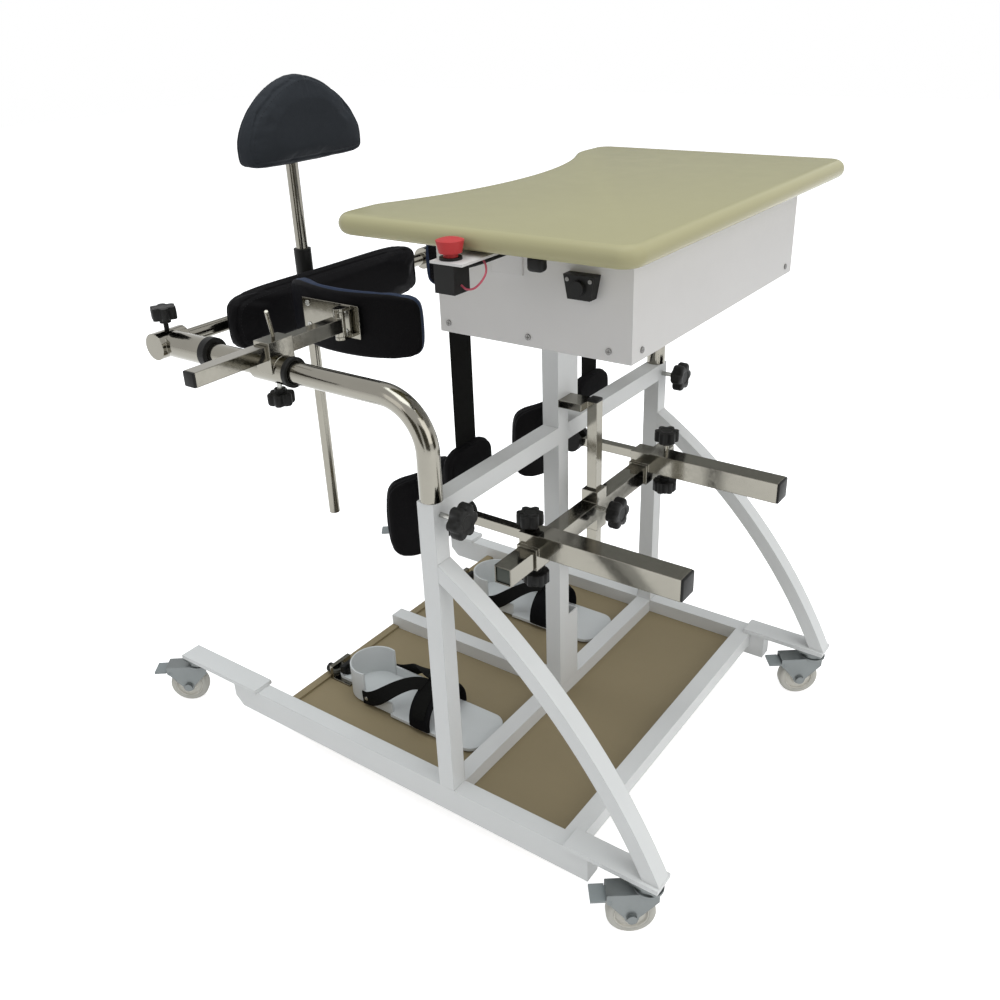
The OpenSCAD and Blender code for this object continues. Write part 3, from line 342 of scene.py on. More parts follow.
class Finishes:
    """The finishes of this object."""

    FRAME = Finish(
        "white_powder_coat", "white_frame", (214, 215, 214), 0.42, specular=0.4, wear=0.35,
        wear_color=(150, 148, 144),
    )
    SHEET = Finish(
        "white_sheet_steel", "white_sheet", (204, 202, 200), 0.5, grain_scale=1100.0, cloud=0.035, wear=0.3,
        wear_color=(165, 160, 155),
    )
    BOARD = Finish(
        "brown_board", "board", (139, 126, 98), 0.55, specular=0.3, grain=Grain.FIBRE, grain_scale=160.0,
        grain_depth=0.00012, cloud_scale=5.0, cloud=0.09, wear=0.4, wear_color=(108, 96, 72),
    )
    TRAY = Finish(
        "cream_laminate", "tray_board", (168, 163, 128), 0.2, specular=0.08, grain_depth=0.0,
        cloud_scale=3.0, cloud=0.04, rough_vary=0.05, edge_radius=0.0,
    )
    # Base colour darker than bare chrome: painted shade that stands in for the darker surroundings that the
    # chrome parts reflect
    CHROME = Finish(
        "polished_chrome", "chrome", (140, 137, 128), 0.12, metallic=1.0, grain_scale=60.0,
        grain_depth=0.00001, cloud_scale=14.0, cloud=0.1, rough_vary=0.09, edge_radius=0.0016,
    )
    ZINC = Finish(
        "zinc_plate", "zinc", (120, 124, 124), 0.36, metallic=0.7, grain_scale=420.0, grain_depth=0.00003,
        cloud_scale=22.0, cloud=0.14, rough_vary=0.12, wear=0.3, wear_color=(96, 94, 90),
    )
    PEDAL = Finish(
        "grey_pedal", "grey_plastic", (128, 134, 135), 0.5, grain_scale=1500.0, grain_depth=0.00006,
        cloud=0.08, wear=0.4,
    )
    TREAD = Finish(
        "pale_tread", "wheel_grey", (184, 182, 174), 0.6, grain_scale=800.0, grain_depth=0.00008,
        cloud_scale=30.0, cloud=0.1, edge_radius=0.0,
    )
    HUB = Finish(
        "cream_hub", "wheel_grey", (204, 201, 192), 0.4, cloud_scale=25.0, cloud=0.06, edge_radius=0.0,
    )
    BLACK = Finish(
        "black_moulding", "black_plastic", (28, 28, 27), 0.45, specular=0.16, grain_scale=1800.0,
        grain_depth=0.00005, cloud_scale=20.0, cloud=0.15, wear=0.4, wear_color=(66, 65, 64),
        edge_radius=0.0008,
    )
    SOLE = Finish(
        "white_moulding", "white_plastic", (206, 209, 209), 0.38, specular=0.25, grain_scale=500.0,
        grain_depth=0.00006, cloud_scale=12.0,
    )
    WEBBING = Strapping(
        "woven_webbing", "black_webbing", (21, 21, 20), 0.82, specular=0.04, grain=Grain.WEAVE,
        grain_scale=157.0,
    )
    STRAP = Strapping(
        "padded_strap", "black_webbing", (22, 22, 23), 0.78, specular=0.02, grain=Grain.PEBBLE,
        grain_scale=900.0,
    )
    COVER = Upholstery(
        "black_cover", "black_upholstery", (16, 15, 16), 0.6, specular=0.05, sheen=0.02,
        sheen_color=(150, 160, 190), grain_scale=620.0, grain_depth=0.00022, cloud=0.18,
    )
    BAND = Upholstery(
        "navy_band", "navy_upholstery", (39, 48, 67), 0.6, specular=0.1, sheen=0.04,
        sheen_color=(150, 170, 210), cloud=0.2,
    )
    HEAD_COVER = Upholstery(
        "charcoal_cover", "navy_upholstery", (42, 45, 49), 0.68, specular=0.08, sheen=0.04,
        sheen_color=(170, 180, 200), cloud=0.16,
    )
    THREAD = Finish(
        "black_thread", "black_upholstery", (34, 34, 36), 0.7, specular=0.1, grain_scale=4000.0, cloud=0.1,
        edge_radius=0.0,
    )
    RED = Finish(
        "red_moulding", "red_plastic", (180, 56, 57), 0.42, specular=0.15, grain_scale=900.0,
        cloud_scale=25.0, cloud=0.06, wear=0.25, wear_color=(150, 24, 30),
    )
    RED_WIRE = Finish(
        "red_wire", "red_plastic", (168, 66, 84), 0.45, grain_scale=1500.0, cloud=0.06, edge_radius=0.0,
    )
    # Dim grey of an open tube's hollow: painted shade
    MOUTH_SHADE = Finish("painted_mouth_shade", "grey_plastic", (84, 88, 82), 0.5, specular=0.2, cloud=0.1, edge_radius=0.0)
    MACHINE = Finish(
        "cast_machine", "machine", (142, 146, 150), 0.45, metallic=0.6, grain_scale=500.0,
        grain_depth=0.0001, cloud=0.1,
    )
    STEEL = Finish(
        "bright_screw", "zinc", (178, 178, 174), 0.26, metallic=1.0, grain_scale=900.0, cloud=0.1,
    )
    DARK_SCREW = Finish(
        "dark_screw", "zinc", (128, 127, 125), 0.36, metallic=0.9, grain_scale=900.0, cloud=0.1,
    )


# Finish of each solid that shows as it is
NODE_FINISH: dict[str, Finish] = {
    "base_frame": Finishes.FRAME, "uprights": Finishes.FRAME, "arch_braces": Finishes.FRAME,
    "housing": Finishes.SHEET, "floor_boards": Finishes.BOARD,
    "knee_guide": Finishes.CHROME, "knee_crossbar": Finishes.CHROME, "back_tubes": Finishes.CHROME,
    "back_bar": Finishes.CHROME, "headrest_post": Finishes.CHROME, "foot_brackets": Finishes.CHROME,
    "back_knobs": Finishes.BLACK, "stop_base": Finishes.BLACK, "hand_socket": Finishes.BLACK,
    "stop_button": Finishes.RED, "castor_heads": Finishes.ZINC,
    "drive_unit": Finishes.MACHINE, "winch_shaft": Finishes.MACHINE,
    **{f"castor_fork_{c}": Finishes.ZINC for c in CASTORS},
    **{f"castor_brake_{c}": Finishes.PEDAL for c in CASTORS},
    **{f"foot_sole_{s}": Finishes.SOLE for s in SIDES},
    **{f"knee_bracket_{s}": Finishes.BLACK for s in SIDES},
    **{f"{n}_{s}": Finishes.CHROME for s in SIDES for n in (
        "side_clamp", "side_bar", "side_plate", "knee_arm", "knee_rod")},
}


@dataclass
class Shape:
    """Vertices and faces of a piece, with the finish number of each face."""

    verts: list[Point] = field(default_factory=list)
    faces: list[Sequence[int]] = field(default_factory=list)
    marks: list[int] = field(default_factory=list)

    # Largest edge radius of a block, as a share of its least side
    ROUNDEST = 0.49

    def ring_band(self, low: Sequence[int], high: Sequence[int], mark: int = 0) -> None:
        """Join two closed rings of vertex numbers with quads."""
        count = len(low)
        for i in range(count):
            j = (i + 1) % count
            self.faces.append((low[i], low[j], high[j], high[i]))
            self.marks.append(mark)

    def add_ring(self, points: Iterable[Point]) -> list[int]:
        """Add the points of a ring and return their numbers."""
        start = len(self.verts)
        self.verts.extend(tuple(p) for p in points)
        return list(range(start, len(self.verts)))

    def cap(self, ring: Sequence[int], mark: int = 0) -> None:
        """Close a ring with one face."""
        self.faces.append(tuple(ring))
        self.marks.append(mark)

    def loft(
        self, rings: Sequence[Sequence[Point]], marks: Sequence[int] | None = None, capped: bool = True
    ) -> None:
        """Add a skin through rings of equal count.

        Args:
            rings: Points of each ring in order.
            marks: Finish number of each band, or all the first finish.
            capped: Whether the first and last ring are closed.
        """
        numbers = [self.add_ring(ring) for ring in rings]
        for i in range(len(numbers) - 1):
            self.ring_band(numbers[i], numbers[i + 1], marks[i] if marks else 0)
        if capped:
            self.cap(numbers[0][::-1], marks[0] if marks else 0)
            self.cap(numbers[-1], marks[-1] if marks else 0)

    def rounded_block(self, lo: Point, hi: Point, radius: float, steps: int = 3, mark: int = 0) -> None:
        """Add a block between two corners with rounded edges.

        Args:
            lo: Lowest corner.
            hi: Highest corner.
            radius: Edge radius.
            steps: Faces across each rounded edge.
            mark: Finish number.
        """
        body = bmesh.new()
        size = Vector(hi) - Vector(lo)
        middle = (Vector(hi) + Vector(lo)) / 2
        bmesh.ops.create_cube(body, matrix=Matrix.Translation(middle) @ Matrix.Diagonal((*size, 1.0)))
        limit = min(radius, min(size) * self.ROUNDEST)
        bmesh.ops.bevel(body, geom=body.edges[:], offset=limit, segments=steps, profile=0.5, affect="EDGES")
        start = len(self.verts)
        body.verts.index_update()
        self.verts.extend(tuple(v.co) for v in body.verts)
        for face in body.faces:
            self.faces.append([start + v.index for v in face.verts])
            self.marks.append(mark)
        body.free()

    def lathe(
        self, origin: Point, axis: Point, profile: Sequence[Point], marks: Sequence[int], steps: int = 48
    ) -> None:
        """Add a turned form.

        Args:
            origin: Point that the profile's zero lies at.
            axis: Direction of the axis.
            profile: Closed list of distance from the axis and distance along it.
            marks: Finish number of each stretch of the profile.
            steps: Faces round the axis.
        """
        turn = Vector((0, 0, 1)).rotation_difference(Vector(axis)).to_matrix()
        angles = [2 * math.pi * i / steps for i in range(steps)]
        rings = []
        for r, along in profile:
            ring = [turn @ Vector((r * math.cos(a), r * math.sin(a), along)) for a in angles]
            rings.append(self.add_ring(spot + Vector(origin) for spot in ring))
        for i in range(len(rings)):
            self.ring_band(rings[i], rings[(i + 1) % len(rings)], marks[i])


class Workshop:
    """Turns shapes into pieces that ride on the frame's bodies."""

    SMOOTH_ANGLE = math.radians(38)

    @staticmethod
    def link(name: str, data: ID) -> Object:
        """Make an object of a mesh or curve at the origin and put it in the scene."""
        made = bpy.data.objects.new(name, data)
        bpy.context.scene.collection.objects.link(made)
        return made

    @classmethod
    def mesh(cls, name: str, shape: Shape, finishes: Sequence[Finish]) -> Mesh:
        """Make a clean mesh with outward faces.

        Args:
            name: Name of the mesh.
            shape: Its vertices and faces.
            finishes: Finishes by number.

        Returns:
            The mesh, smooth except at its sharp edges.
        """
        mesh = bpy.data.meshes.new(name)
        mesh.from_pydata([tuple(v) for v in shape.verts], [], [tuple(f) for f in shape.faces])
        mesh.polygons.foreach_set("material_index", shape.marks)
        body = bmesh.new()
        body.from_mesh(mesh)
        bmesh.ops.remove_doubles(body, verts=body.verts, dist=TINY)
        bmesh.ops.recalc_face_normals(body, faces=body.faces)
        body.to_mesh(mesh)
        body.free()
        for finish in finishes:
            mesh.materials.append(finish.material())
        mesh.polygons.foreach_set("use_smooth", [True] * len(mesh.polygons))
        mesh.set_sharp_from_angle(angle=cls.SMOOTH_ANGLE)
        return mesh

    @classmethod
    def piece(cls, name: str, body: str, shape: Shape, *finishes: Finish) -> Object:
        """Make a rigid piece that rides on a body.

        Args:
            name: Name of the piece.
            body: Body that it moves with.
            shape: Its form.
            *finishes: Finishes by number.

        Returns:
            The piece.
        """
        made = cls.link(name, cls.mesh(name, shape, finishes))
        return cls.seat(made, body, finishes[0])

    @staticmethod
    def seat(made: Object, body: str, finish: Finish) -> Object:
        """Let a piece ride on a body."""
        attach(made, body)
        LOG.info("%s rides on %s", made.name, body)
        return made

    @staticmethod
    def baked(made: Object) -> Mesh:
        """Return the mesh that an object's modifiers make."""
        graph = bpy.context.evaluated_depsgraph_get()
        return bpy.data.meshes.new_from_object(made.evaluated_get(graph), depsgraph=graph)


def socket_named(tree: NodeTree, label: str) -> str:
    """Return the identifier of a tree's input."""
    return next(
        item.identifier for item in tree.interface.items_tree
        if item.item_type == "SOCKET" and item.in_out == "INPUT" and item.name == label
    )


class RepeatTree:
    """A Geometry Nodes tree that sets one small form at many places of a guide mesh."""

    def __init__(self, name: str, sizes: dict[str, float]) -> None:
        """Make the tree with its inputs.

        Args:
            name: Name of the tree.
            sizes: Starting value of each named size.
        """
        self.tree = bpy.data.node_groups.new(name, "GeometryNodeTree")
        faces = self.tree.interface
        faces.new_socket("Geometry", in_out="INPUT", socket_type="NodeSocketGeometry")
        for label, value in sizes.items():
            made = faces.new_socket(label, in_out="INPUT", socket_type="NodeSocketFloat")
            made.default_value = value
        faces.new_socket("Material", in_out="INPUT", socket_type="NodeSocketMaterial")
        faces.new_socket("Geometry", in_out="OUTPUT", socket_type="NodeSocketGeometry")
        self.source = self.tree.nodes.new("NodeGroupInput").outputs

    def add(self, kind: str, values: dict[Any, Any] | None = None, **settings: Any) -> NodeSocket:
        """Add a node to the tree and return its first output."""
        return node(self.tree, kind, values, **settings).outputs[0]

    def close(self, points: NodeSocket, form: NodeSocket, rotation: NodeSocket) -> None:
        """Set the form at the points, make it real geometry and give it the material.

        Args:
            points: Socket of the places.
            form: Socket of the form.
            rotation: Socket of each place's rotation.
        """
        places = {"Points": points, "Instance": form, "Rotation": rotation}
        spread = self.add("GeometryNodeInstanceOnPoints", places)
        real = self.add("GeometryNodeRealizeInstances", {0: spread})
        paint = {"Geometry": real, "Material": self.source["Material"]}
        node(self.tree, "NodeGroupOutput", {0: self.add("GeometryNodeSetMaterial", paint)})

    def aligned(self, vector: NodeSocket, axis: str) -> NodeSocket:
        """Return the rotation that turns an axis of the form along a vector."""
        return self.add("FunctionNodeAlignRotationToVector", {"Vector": vector}, axis=axis)

    def run(self, guide: Object, finish: Finish, sizes: dict[str, float]) -> Object:
        """Turn a guide object into the repeated forms as a plain mesh.

        Args:
            guide: Object whose mesh holds the places.
            finish: Finish of the forms.
            sizes: Values of the tree's named sizes.

        Returns:
            The same object with its new mesh and no modifier.
        """
        repeat = guide.modifiers.new("repeat", "NODES")
        repeat.node_group = self.tree
        for label, value in sizes.items():
            repeat[socket_named(self.tree, label)] = value
        repeat[socket_named(self.tree, "Material")] = finish.material()
        mesh = Workshop.baked(guide)
        guide.modifiers.remove(repeat)
        guide.data = mesh
        if not mesh.materials:
            mesh.materials.append(finish.material())
        return guide


class ScrewTree(RepeatTree):
    """Pan-head screws with a cross recess, facing along each place's own direction."""

    FACING = "facing"
    RECESS_SHARE = 0.62
    RECESS_WIDTH = 0.2
    RECESS_LIFT = 0.7
    SIDES_ROUND = 24

    def __init__(self) -> None:
        """Build the screw head and its places."""
        super().__init__("pan_screws", {"Head Radius": 0.004, "Head Height": 0.002})
        radius, height = self.source["Head Radius"], self.source["Head Height"]
        head = {"Vertices": self.SIDES_ROUND, "Radius": radius, "Depth": height}
        cut = node(
            self.tree, "GeometryNodeMeshBoolean", {0: self.add("GeometryNodeMeshCylinder", head)},
            operation="DIFFERENCE",
        )
        lift = self.add("ShaderNodeCombineXYZ", {"Z": times(self.tree, height, self.RECESS_LIFT)})
        sides = [times(self.tree, radius, share) for share in (2 * self.RECESS_SHARE, self.RECESS_WIDTH)]
        for x, y in (sides, sides[::-1]):
            size = self.add("ShaderNodeCombineXYZ", {"X": x, "Y": y, "Z": height})
            bar = {"Geometry": self.add("GeometryNodeMeshCube", {"Size": size}), "Translation": lift}
            feed(self.tree, self.add("GeometryNodeTransform", bar), cut.inputs[1])
        name = {"Name": self.FACING}
        facing = self.add("GeometryNodeInputNamedAttribute", name, data_type="FLOAT_VECTOR")
        self.close(self.source["Geometry"], cut.outputs["Mesh"], self.aligned(facing, "Z"))

    def screws(
        self, name: str, body: str, places: Sequence[tuple[Point, Point]], finish: Finish, radius: float,
        height: float,
    ) -> None:
        """Set screws on a body as one piece.

        Args:
            name: Name of the piece.
            body: Body that they ride on.
            places: Position and facing direction of each screw.
            finish: Finish of the heads.
            radius: Radius of a head.
            height: Height of a head.
        """
        mesh = bpy.data.meshes.new(name)
        mesh.from_pydata([tuple(p) for p, _ in places], [], [])
        facing = mesh.attributes.new(self.FACING, "FLOAT_VECTOR", "POINT")
        facing.data.foreach_set("vector", [x for _, way in places for x in way])
        guide = Workshop.link(name, mesh)
        self.run(guide, finish, {"Head Radius": radius, "Head Height": height})
        Workshop.seat(guide, body, finish)


class StitchTree(RepeatTree):
    """Stitches along a closed seam line."""

    SIZES = {"Pitch": 0.006, "Length": 0.0038, "Thickness": 0.0009}

    def __init__(self) -> None:
        """Build one stitch and its places along the line."""
        super().__init__("seam_stitches", self.SIZES)
        line = self.add("GeometryNodeMeshToCurve", {"Mesh": self.source["Geometry"]})
        pitch = {"Curve": line, "Length": self.source["Pitch"]}
        even = self.add("GeometryNodeResampleCurve", pitch, mode="LENGTH")
        labels = zip("XYZ", ("Length", "Thickness", "Thickness"))
        size = self.add("ShaderNodeCombineXYZ", {axis: self.source[label] for axis, label in labels})
        bead = self.add("GeometryNodeMeshIcoSphere", {"Radius": 0.5, "Subdivisions": 1})
        stitch = self.add("GeometryNodeTransform", {"Geometry": bead, "Scale": size})
        self.close(even, stitch, self.aligned(self.add("GeometryNodeInputTangent"), "X"))

    def seam(self, name: str, body: str, line: Sequence[Point], finish: Finish) -> None:
        """Sew stitches along a closed line as one piece.

        Args:
            name: Name of the piece.
            body: Body that they ride on.
            line: Points of the seam.
            finish: Finish of the thread.
        """
        count = len(line)
        mesh = bpy.data.meshes.new(name)
        mesh.from_pydata([tuple(p) for p in line], [(i, (i + 1) % count) for i in range(count)], [])
        guide = Workshop.link(name, mesh)
        self.run(guide, finish, self.SIZES)
        Workshop.seat(guide, body, finish)


POST_Y = sum(corner.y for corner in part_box("uprights")) / 2


def at(x: float, y: float, z: float) -> Vector:
    """Return a point given in millimetres from the line of the posts, in the shared frame."""
    return Vector((x / MM, y / MM + POST_Y, z / MM))


def coordinates(mesh: Mesh) -> np.ndarray:
    """Return the vertex positions of a mesh as rows."""
    flat = np.zeros(len(mesh.vertices) * 3)
    mesh.vertices.foreach_get("co", flat)
    return flat.reshape(-1, 3)


def dress(name: str, finish: Finish, patches: Sequence[tuple[Point, Point, Finish]] = ()) -> None:
    """Give a solid its finish.

    Args:
        name: Node of the solid.
        finish: Its main finish.
        patches: Lowest and highest corner of each part of it that has another finish.
    """
    solid = frame["nodes"][name]
    solid.data.materials.clear()
    solid.data.materials.append(finish.material())
    places = coordinates(solid.data)
    for number, (lo, hi, other) in enumerate(patches, start=1):
        solid.data.materials.append(other.material())
        inside = np.all((places >= np.array(lo)) & (places <= np.array(hi)), axis=1)
        for face in solid.data.polygons:
            if inside[list(face.vertices)].all():
                face.material_index = number


class Outline(Enum):
    """Outline of a pad: a rounded rectangle, or a dome on a low rounded base."""

    ROUNDED = "rounded"
    DOME = "dome"


@dataclass(frozen=True)
class Seat:
    """Where one pad sits: its piece, its body, the solid that it stands for, and its axes."""

    piece: str
    body: str
    solid: str
    origin: Vector
    along: Point
    out: Point
    up: Point = (0.0, 0.0, 1.0)

    def axes(self) -> np.ndarray:
        """Return the pad's three axes as rows."""
        return np.array([self.along, self.up, self.out], float)


@dataclass
class Pad:
    """An upholstered pad: a cover blown out over its foam, with a sewn border.

    Sizes are in metres in the pad's own axes: along it, up it, and out of its flat back.
    """

    name: str
    finish: Finish
    seats: Sequence[Seat]
    length: float
    height: float
    depth: float
    square: float = 4.5
    form: Outline = Outline.ROUNDED
    band: Finish | None = None
    bend: float = 0.0
    swell: float = 0.006
    fill: float = 0.7
    seam_inset: float = 0.011
    seam_depth: float = 0.0022
    seam_width: float = 0.0024
    row_gap: float = 0.0045

    TRIM = 0.004
    VOXEL = 0.004
    PRESSURE = 4.0
    FRAMES = 20
    COUNT = 240
    FINE = 900
    DENSE = 4001
    DOME_LOW, DOME_ROUND, DOME_SQUARE = 0.26, 1.65, 7.0
    # Levels of the seams and of the lowest point of the face, as shares of the depth
    BACK_SEAM, FACE_SEAM, FACE_LOW = 0.17, 0.82, 0.6
    # Width of the rim that the back seam draws in, as a share of the face seam's inset
    RIM_SHARE = 0.7
    # Inset of each section and its height, as shares of the depth
    SECTIONS = (
        (0.16, 0.0), (0.04, 0.07), (0.0, 0.2), (0.015, 0.45), (0.0, 0.68), (0.05, 0.82), (0.16, 0.92),
        (0.4, 0.975), (0.8, 1.0),
    )

    def outline(self, inset: float, count: int) -> np.ndarray:
        """Return evenly spaced points of the pad's outline, drawn in by an inset."""
        turn = np.linspace(0, 2 * math.pi, self.DENSE)
        c, s = np.cos(turn), np.sin(turn)
        power, reach = np.full(turn.shape, self.square), np.full(turn.shape, self.height / 2)
        if self.form is Outline.DOME:
            power = np.where(s < 0, self.DOME_SQUARE, self.DOME_ROUND)
            reach = self.height * np.where(s < 0, self.DOME_LOW, 1 - self.DOME_LOW)
        u = (self.length / 2 - inset) * np.sign(c) * np.abs(c) ** (2 / power)
        v = (reach - inset) * np.sign(s) * np.abs(s) ** (2 / power)
        along = np.concatenate([[0], np.cumsum(np.hypot(np.diff(u), np.diff(v)))])
        even = np.linspace(0, along[-1], count, endpoint=False)
        return np.stack([np.interp(even, along, u), np.interp(even, along, v)], axis=1)

    def foam(self) -> Mesh:
        """Return the slightly smaller starting form as an even net of small faces."""
        shape = Shape()
        rings = []
        for inset, height in self.SECTIONS:
            level = height * (self.depth - self.TRIM)
            line = self.outline(inset * self.depth + self.TRIM, self.COUNT)
            rings.append([(u, v, level) for u, v in line])
        shape.loft(rings)
        made = Workshop.link(f"{self.name}_foam", Workshop.mesh(f"{self.name}_foam", shape, ()))
        net = made.modifiers.new("net", "REMESH")
        net.mode = "VOXEL"
        net.voxel_size = self.VOXEL
        mesh = Workshop.baked(made)
        bpy.data.objects.remove(made)
        return mesh

    def blow(self, mesh: Mesh) -> None:
        """Blow the cover out from its foam, with its back held, and keep where it comes to rest."""
        start = coordinates(mesh)
        made = Workshop.link(f"{self.name}_cover", mesh)
        back = made.vertex_groups.new(name="back")
        back.add([int(i) for i in np.flatnonzero(start[:, 2] < self.VOXEL)], 1.0, "REPLACE")
        cloth = made.modifiers.new("cover", "CLOTH")
        cloth.settings.vertex_group_mass = back.name
        cloth.settings.use_pressure = True
        cloth.settings.uniform_pressure_force = self.PRESSURE
        cloth.settings.effector_weights.gravity = 0.0
        for number in range(1, self.FRAMES + 1):
            bpy.context.scene.frame_set(number)
        moved = coordinates(Workshop.baked(made)) - start
        bpy.context.scene.frame_set(1)
        bpy.data.objects.remove(made)
        reach = np.linalg.norm(moved, axis=1, keepdims=True)
        LOG.info("%s cover moved %.1f mm at most", self.name, reach.max() * MM)
        rest = start + moved * np.minimum(1.0, self.swell / np.maximum(reach, TINY))
        mesh.vertices.foreach_set("co", rest.ravel())

    @staticmethod
    def divided(mesh: Mesh) -> Mesh:
        """Return the mesh with one smooth subdivision."""
        made = Workshop.link("divided", mesh)
        finer = made.modifiers.new("finer", "SUBSURF")
        finer.levels = finer.render_levels = 1
        result = Workshop.baked(made)
        bpy.data.objects.remove(made)
        return result

    def distance(self, flat: np.ndarray, inset: float) -> np.ndarray:
        """Return each point's distance from an outline, seen along the pad's depth."""
        least = np.full(len(flat), np.inf)
        for u, v in self.outline(inset, self.FINE):
            least = np.minimum(least, np.hypot(flat[:, 0] - u, flat[:, 1] - v))
        return least

    def sew(self, flat: np.ndarray) -> np.ndarray:
        """Draw the cover in along the seams of its face and of its back edge."""
        sewn, level = flat.copy(), flat[:, 2]
        groove = self.groove(self.distance(flat, self.seam_inset))
        sewn[:, 2] -= np.where(level > self.FACE_LOW * self.depth, groove, 0.0)
        edge = self.groove(level - self.BACK_SEAM * self.depth)
        inward = flat[:, :2] / np.maximum(np.linalg.norm(flat[:, :2], axis=1, keepdims=True), TINY)
        rim = self.distance(flat, 0.0) < self.seam_inset * self.RIM_SHARE
        sewn[:, :2] -= inward * np.where(rim, edge, 0.0)[:, None]
        return sewn

    def groove(self, away: np.ndarray) -> np.ndarray:
        """Return how deep a seam draws the cover in at each distance from it."""
        return self.seam_depth * np.exp(-((away / self.seam_width) ** 2))

    def marks(self, mesh: Mesh, flat: np.ndarray) -> np.ndarray:
        """Return the finish number of each face: 1 between the two seams of a banded pad."""
        if not self.band:
            return np.zeros(len(mesh.polygons), np.int32)
        faces = np.array([np.mean(flat[list(face.vertices)], axis=0) for face in mesh.polygons])
        low, high = self.BACK_SEAM * self.depth, self.FACE_SEAM * self.depth
        between = (faces[:, 2] > low) & (faces[:, 2] < high)
        return (between & (self.distance(faces, 0.0) < self.seam_inset)).astype(np.int32)

    def curl(self, flat: np.ndarray) -> np.ndarray:
        """Bend the pad along its length towards its face, where it has a bend."""
        if not self.bend:
            return flat
        turn, radius = flat[:, 0] / self.bend, self.bend - flat[:, 2]
        return np.stack([radius * np.sin(turn), flat[:, 1], self.bend - radius * np.cos(turn)], axis=1)

    def stitch_line(self, flat: np.ndarray, mesh: Mesh) -> np.ndarray:
        """Return the points of the stitch row just inside the face's seam."""
        tree = BVHTree.FromPolygons([tuple(p) for p in flat], [tuple(f.vertices) for f in mesh.polygons])
        points = []
        for u, v in self.outline(self.seam_inset + self.row_gap, self.COUNT):
            hit = tree.ray_cast(Vector((u, v, 1.0)), Vector((0, 0, -1)))[0]
            points.append((u, v, hit.z if hit else self.depth))
        return np.array(points)

    def build(self, stitches: StitchTree) -> None:
        """Make the pad and its stitches at each of its seats.

        Args:
            stitches: The tree that sews.
        """
        mesh = self.foam()
        self.blow(mesh)
        mesh = self.divided(mesh)
        flat = self.sew(coordinates(mesh))
        row = self.curl(self.stitch_line(flat, mesh))
        placed = self.curl(flat)
        marks = self.marks(mesh, flat)
        for seat in self.seats:
            copy = mesh.copy()
            copy.name = seat.piece
            axes, origin = seat.axes(), np.array(seat.origin)
            copy.vertices.foreach_set("co", (placed @ axes + origin).ravel())
            if np.linalg.det(axes) < 0:
                copy.flip_normals()
            copy.materials.clear()
            for finish in filter(None, (self.finish, self.band)):
                copy.materials.append(finish.material())
            copy.polygons.foreach_set("material_index", marks)
            copy.polygons.foreach_set("use_smooth", [True] * len(copy.polygons))
            copy.update()
            pad = Workshop.seat(Workshop.link(seat.piece, copy), seat.body, self.finish)
            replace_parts(pad, seat.solid)
            stitches.seam(f"{seat.piece}_stitches", seat.body, row @ axes + origin, Finishes.THREAD)


def plate_face(side: str) -> float:
    """Return how far the inner face of a side plate lies from the middle."""
    return min(abs(corner.x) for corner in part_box(f"side_plate_{side}"))


def pads() -> list[Pad]:
    """Return every pad of the frame."""
    right, left, ahead, back = (1, 0, 0), (-1, 0, 0), (0, 1, 0), (0, -1, 0)
    plate_gap, cover = 0.3, Finishes.COVER
    rear = [Seat("back_cushion", "back_carriage", "back_pad", at(0, -520, 771), left, ahead)]
    head = [Seat("head_cushion", "headrest", "headrest_pad", at(0, -551, 1042), left, ahead)]
    slings, flanks, knees = [], [], []
    for side, sign in SIDES.items():
        sling = at(Place.LIFT_X * sign, -43.8, 600)
        slings.append(Seat(f"sling_cushion_{side}", "base", "sling_pads", sling, right, back))
        node_name = f"side_pad_{side}"
        flank = at((plate_face(side) * MM - plate_gap) * sign, -316, 790.4)
        flanks.append(Seat(f"side_cushion_{side}", node_name, node_name, flank, ahead, (-sign, 0, 0)))
        node_name = f"knee_pad_{side}"
        knee = at(Place.KNEE_X * sign, -127, 499.8)
        knees.append(Seat(f"knee_cushion_{side}", node_name, node_name, knee, right, back))
    return [
        Pad("back_cushion", cover, rear, length=0.482, height=0.112, depth=0.036, square=6.0),
        Pad(
            "head_cushion", Finishes.HEAD_COVER, head, length=0.282, height=0.150, depth=0.044,
            form=Outline.DOME,
        ),
        Pad(
            "sling_cushion", cover, slings, length=0.118, height=0.088, depth=0.024, square=3.2,
            swell=0.005,
        ),
        Pad(
            "side_cushion", cover, flanks, length=0.318, height=0.116, depth=0.034, square=6.0,
            band=Finishes.BAND, bend=0.262,
        ),
        Pad("knee_cushion", cover, knees, length=0.196, height=0.150, depth=0.038, square=5.0, bend=0.120),
    ]


def strap_section(half_width: float, half_thick: float, flat: float) -> list[Spot]:
    """Return the section of a strap, flat up to a share of its half width.

    Args:
        half_width: Half its width.
        half_thick: Half its thickness.
        flat: Share of the width that has the full thickness.

    Returns:
        Points across the strap and through it.
    """
    edge = half_width * flat
    section = [(-half_width, 0.0), (-edge, half_thick), (edge, half_thick), (half_width, 0.0)]
    return section + [(edge, -half_thick), (-edge, -half_thick)]


def map_weave(made: Object, spread: Callable[[Vector], Spot]) -> None:
    """Give a woven piece the map that its weave follows.

    Args:
        made: The piece.
        spread: Turns a vertex position into its place on the map.
    """
    layer = made.data.uv_layers.new(name="weave")
    for loop in made.data.loops:
        layer.data[loop.index].uv = spread(made.data.vertices[loop.vertex_index].co)


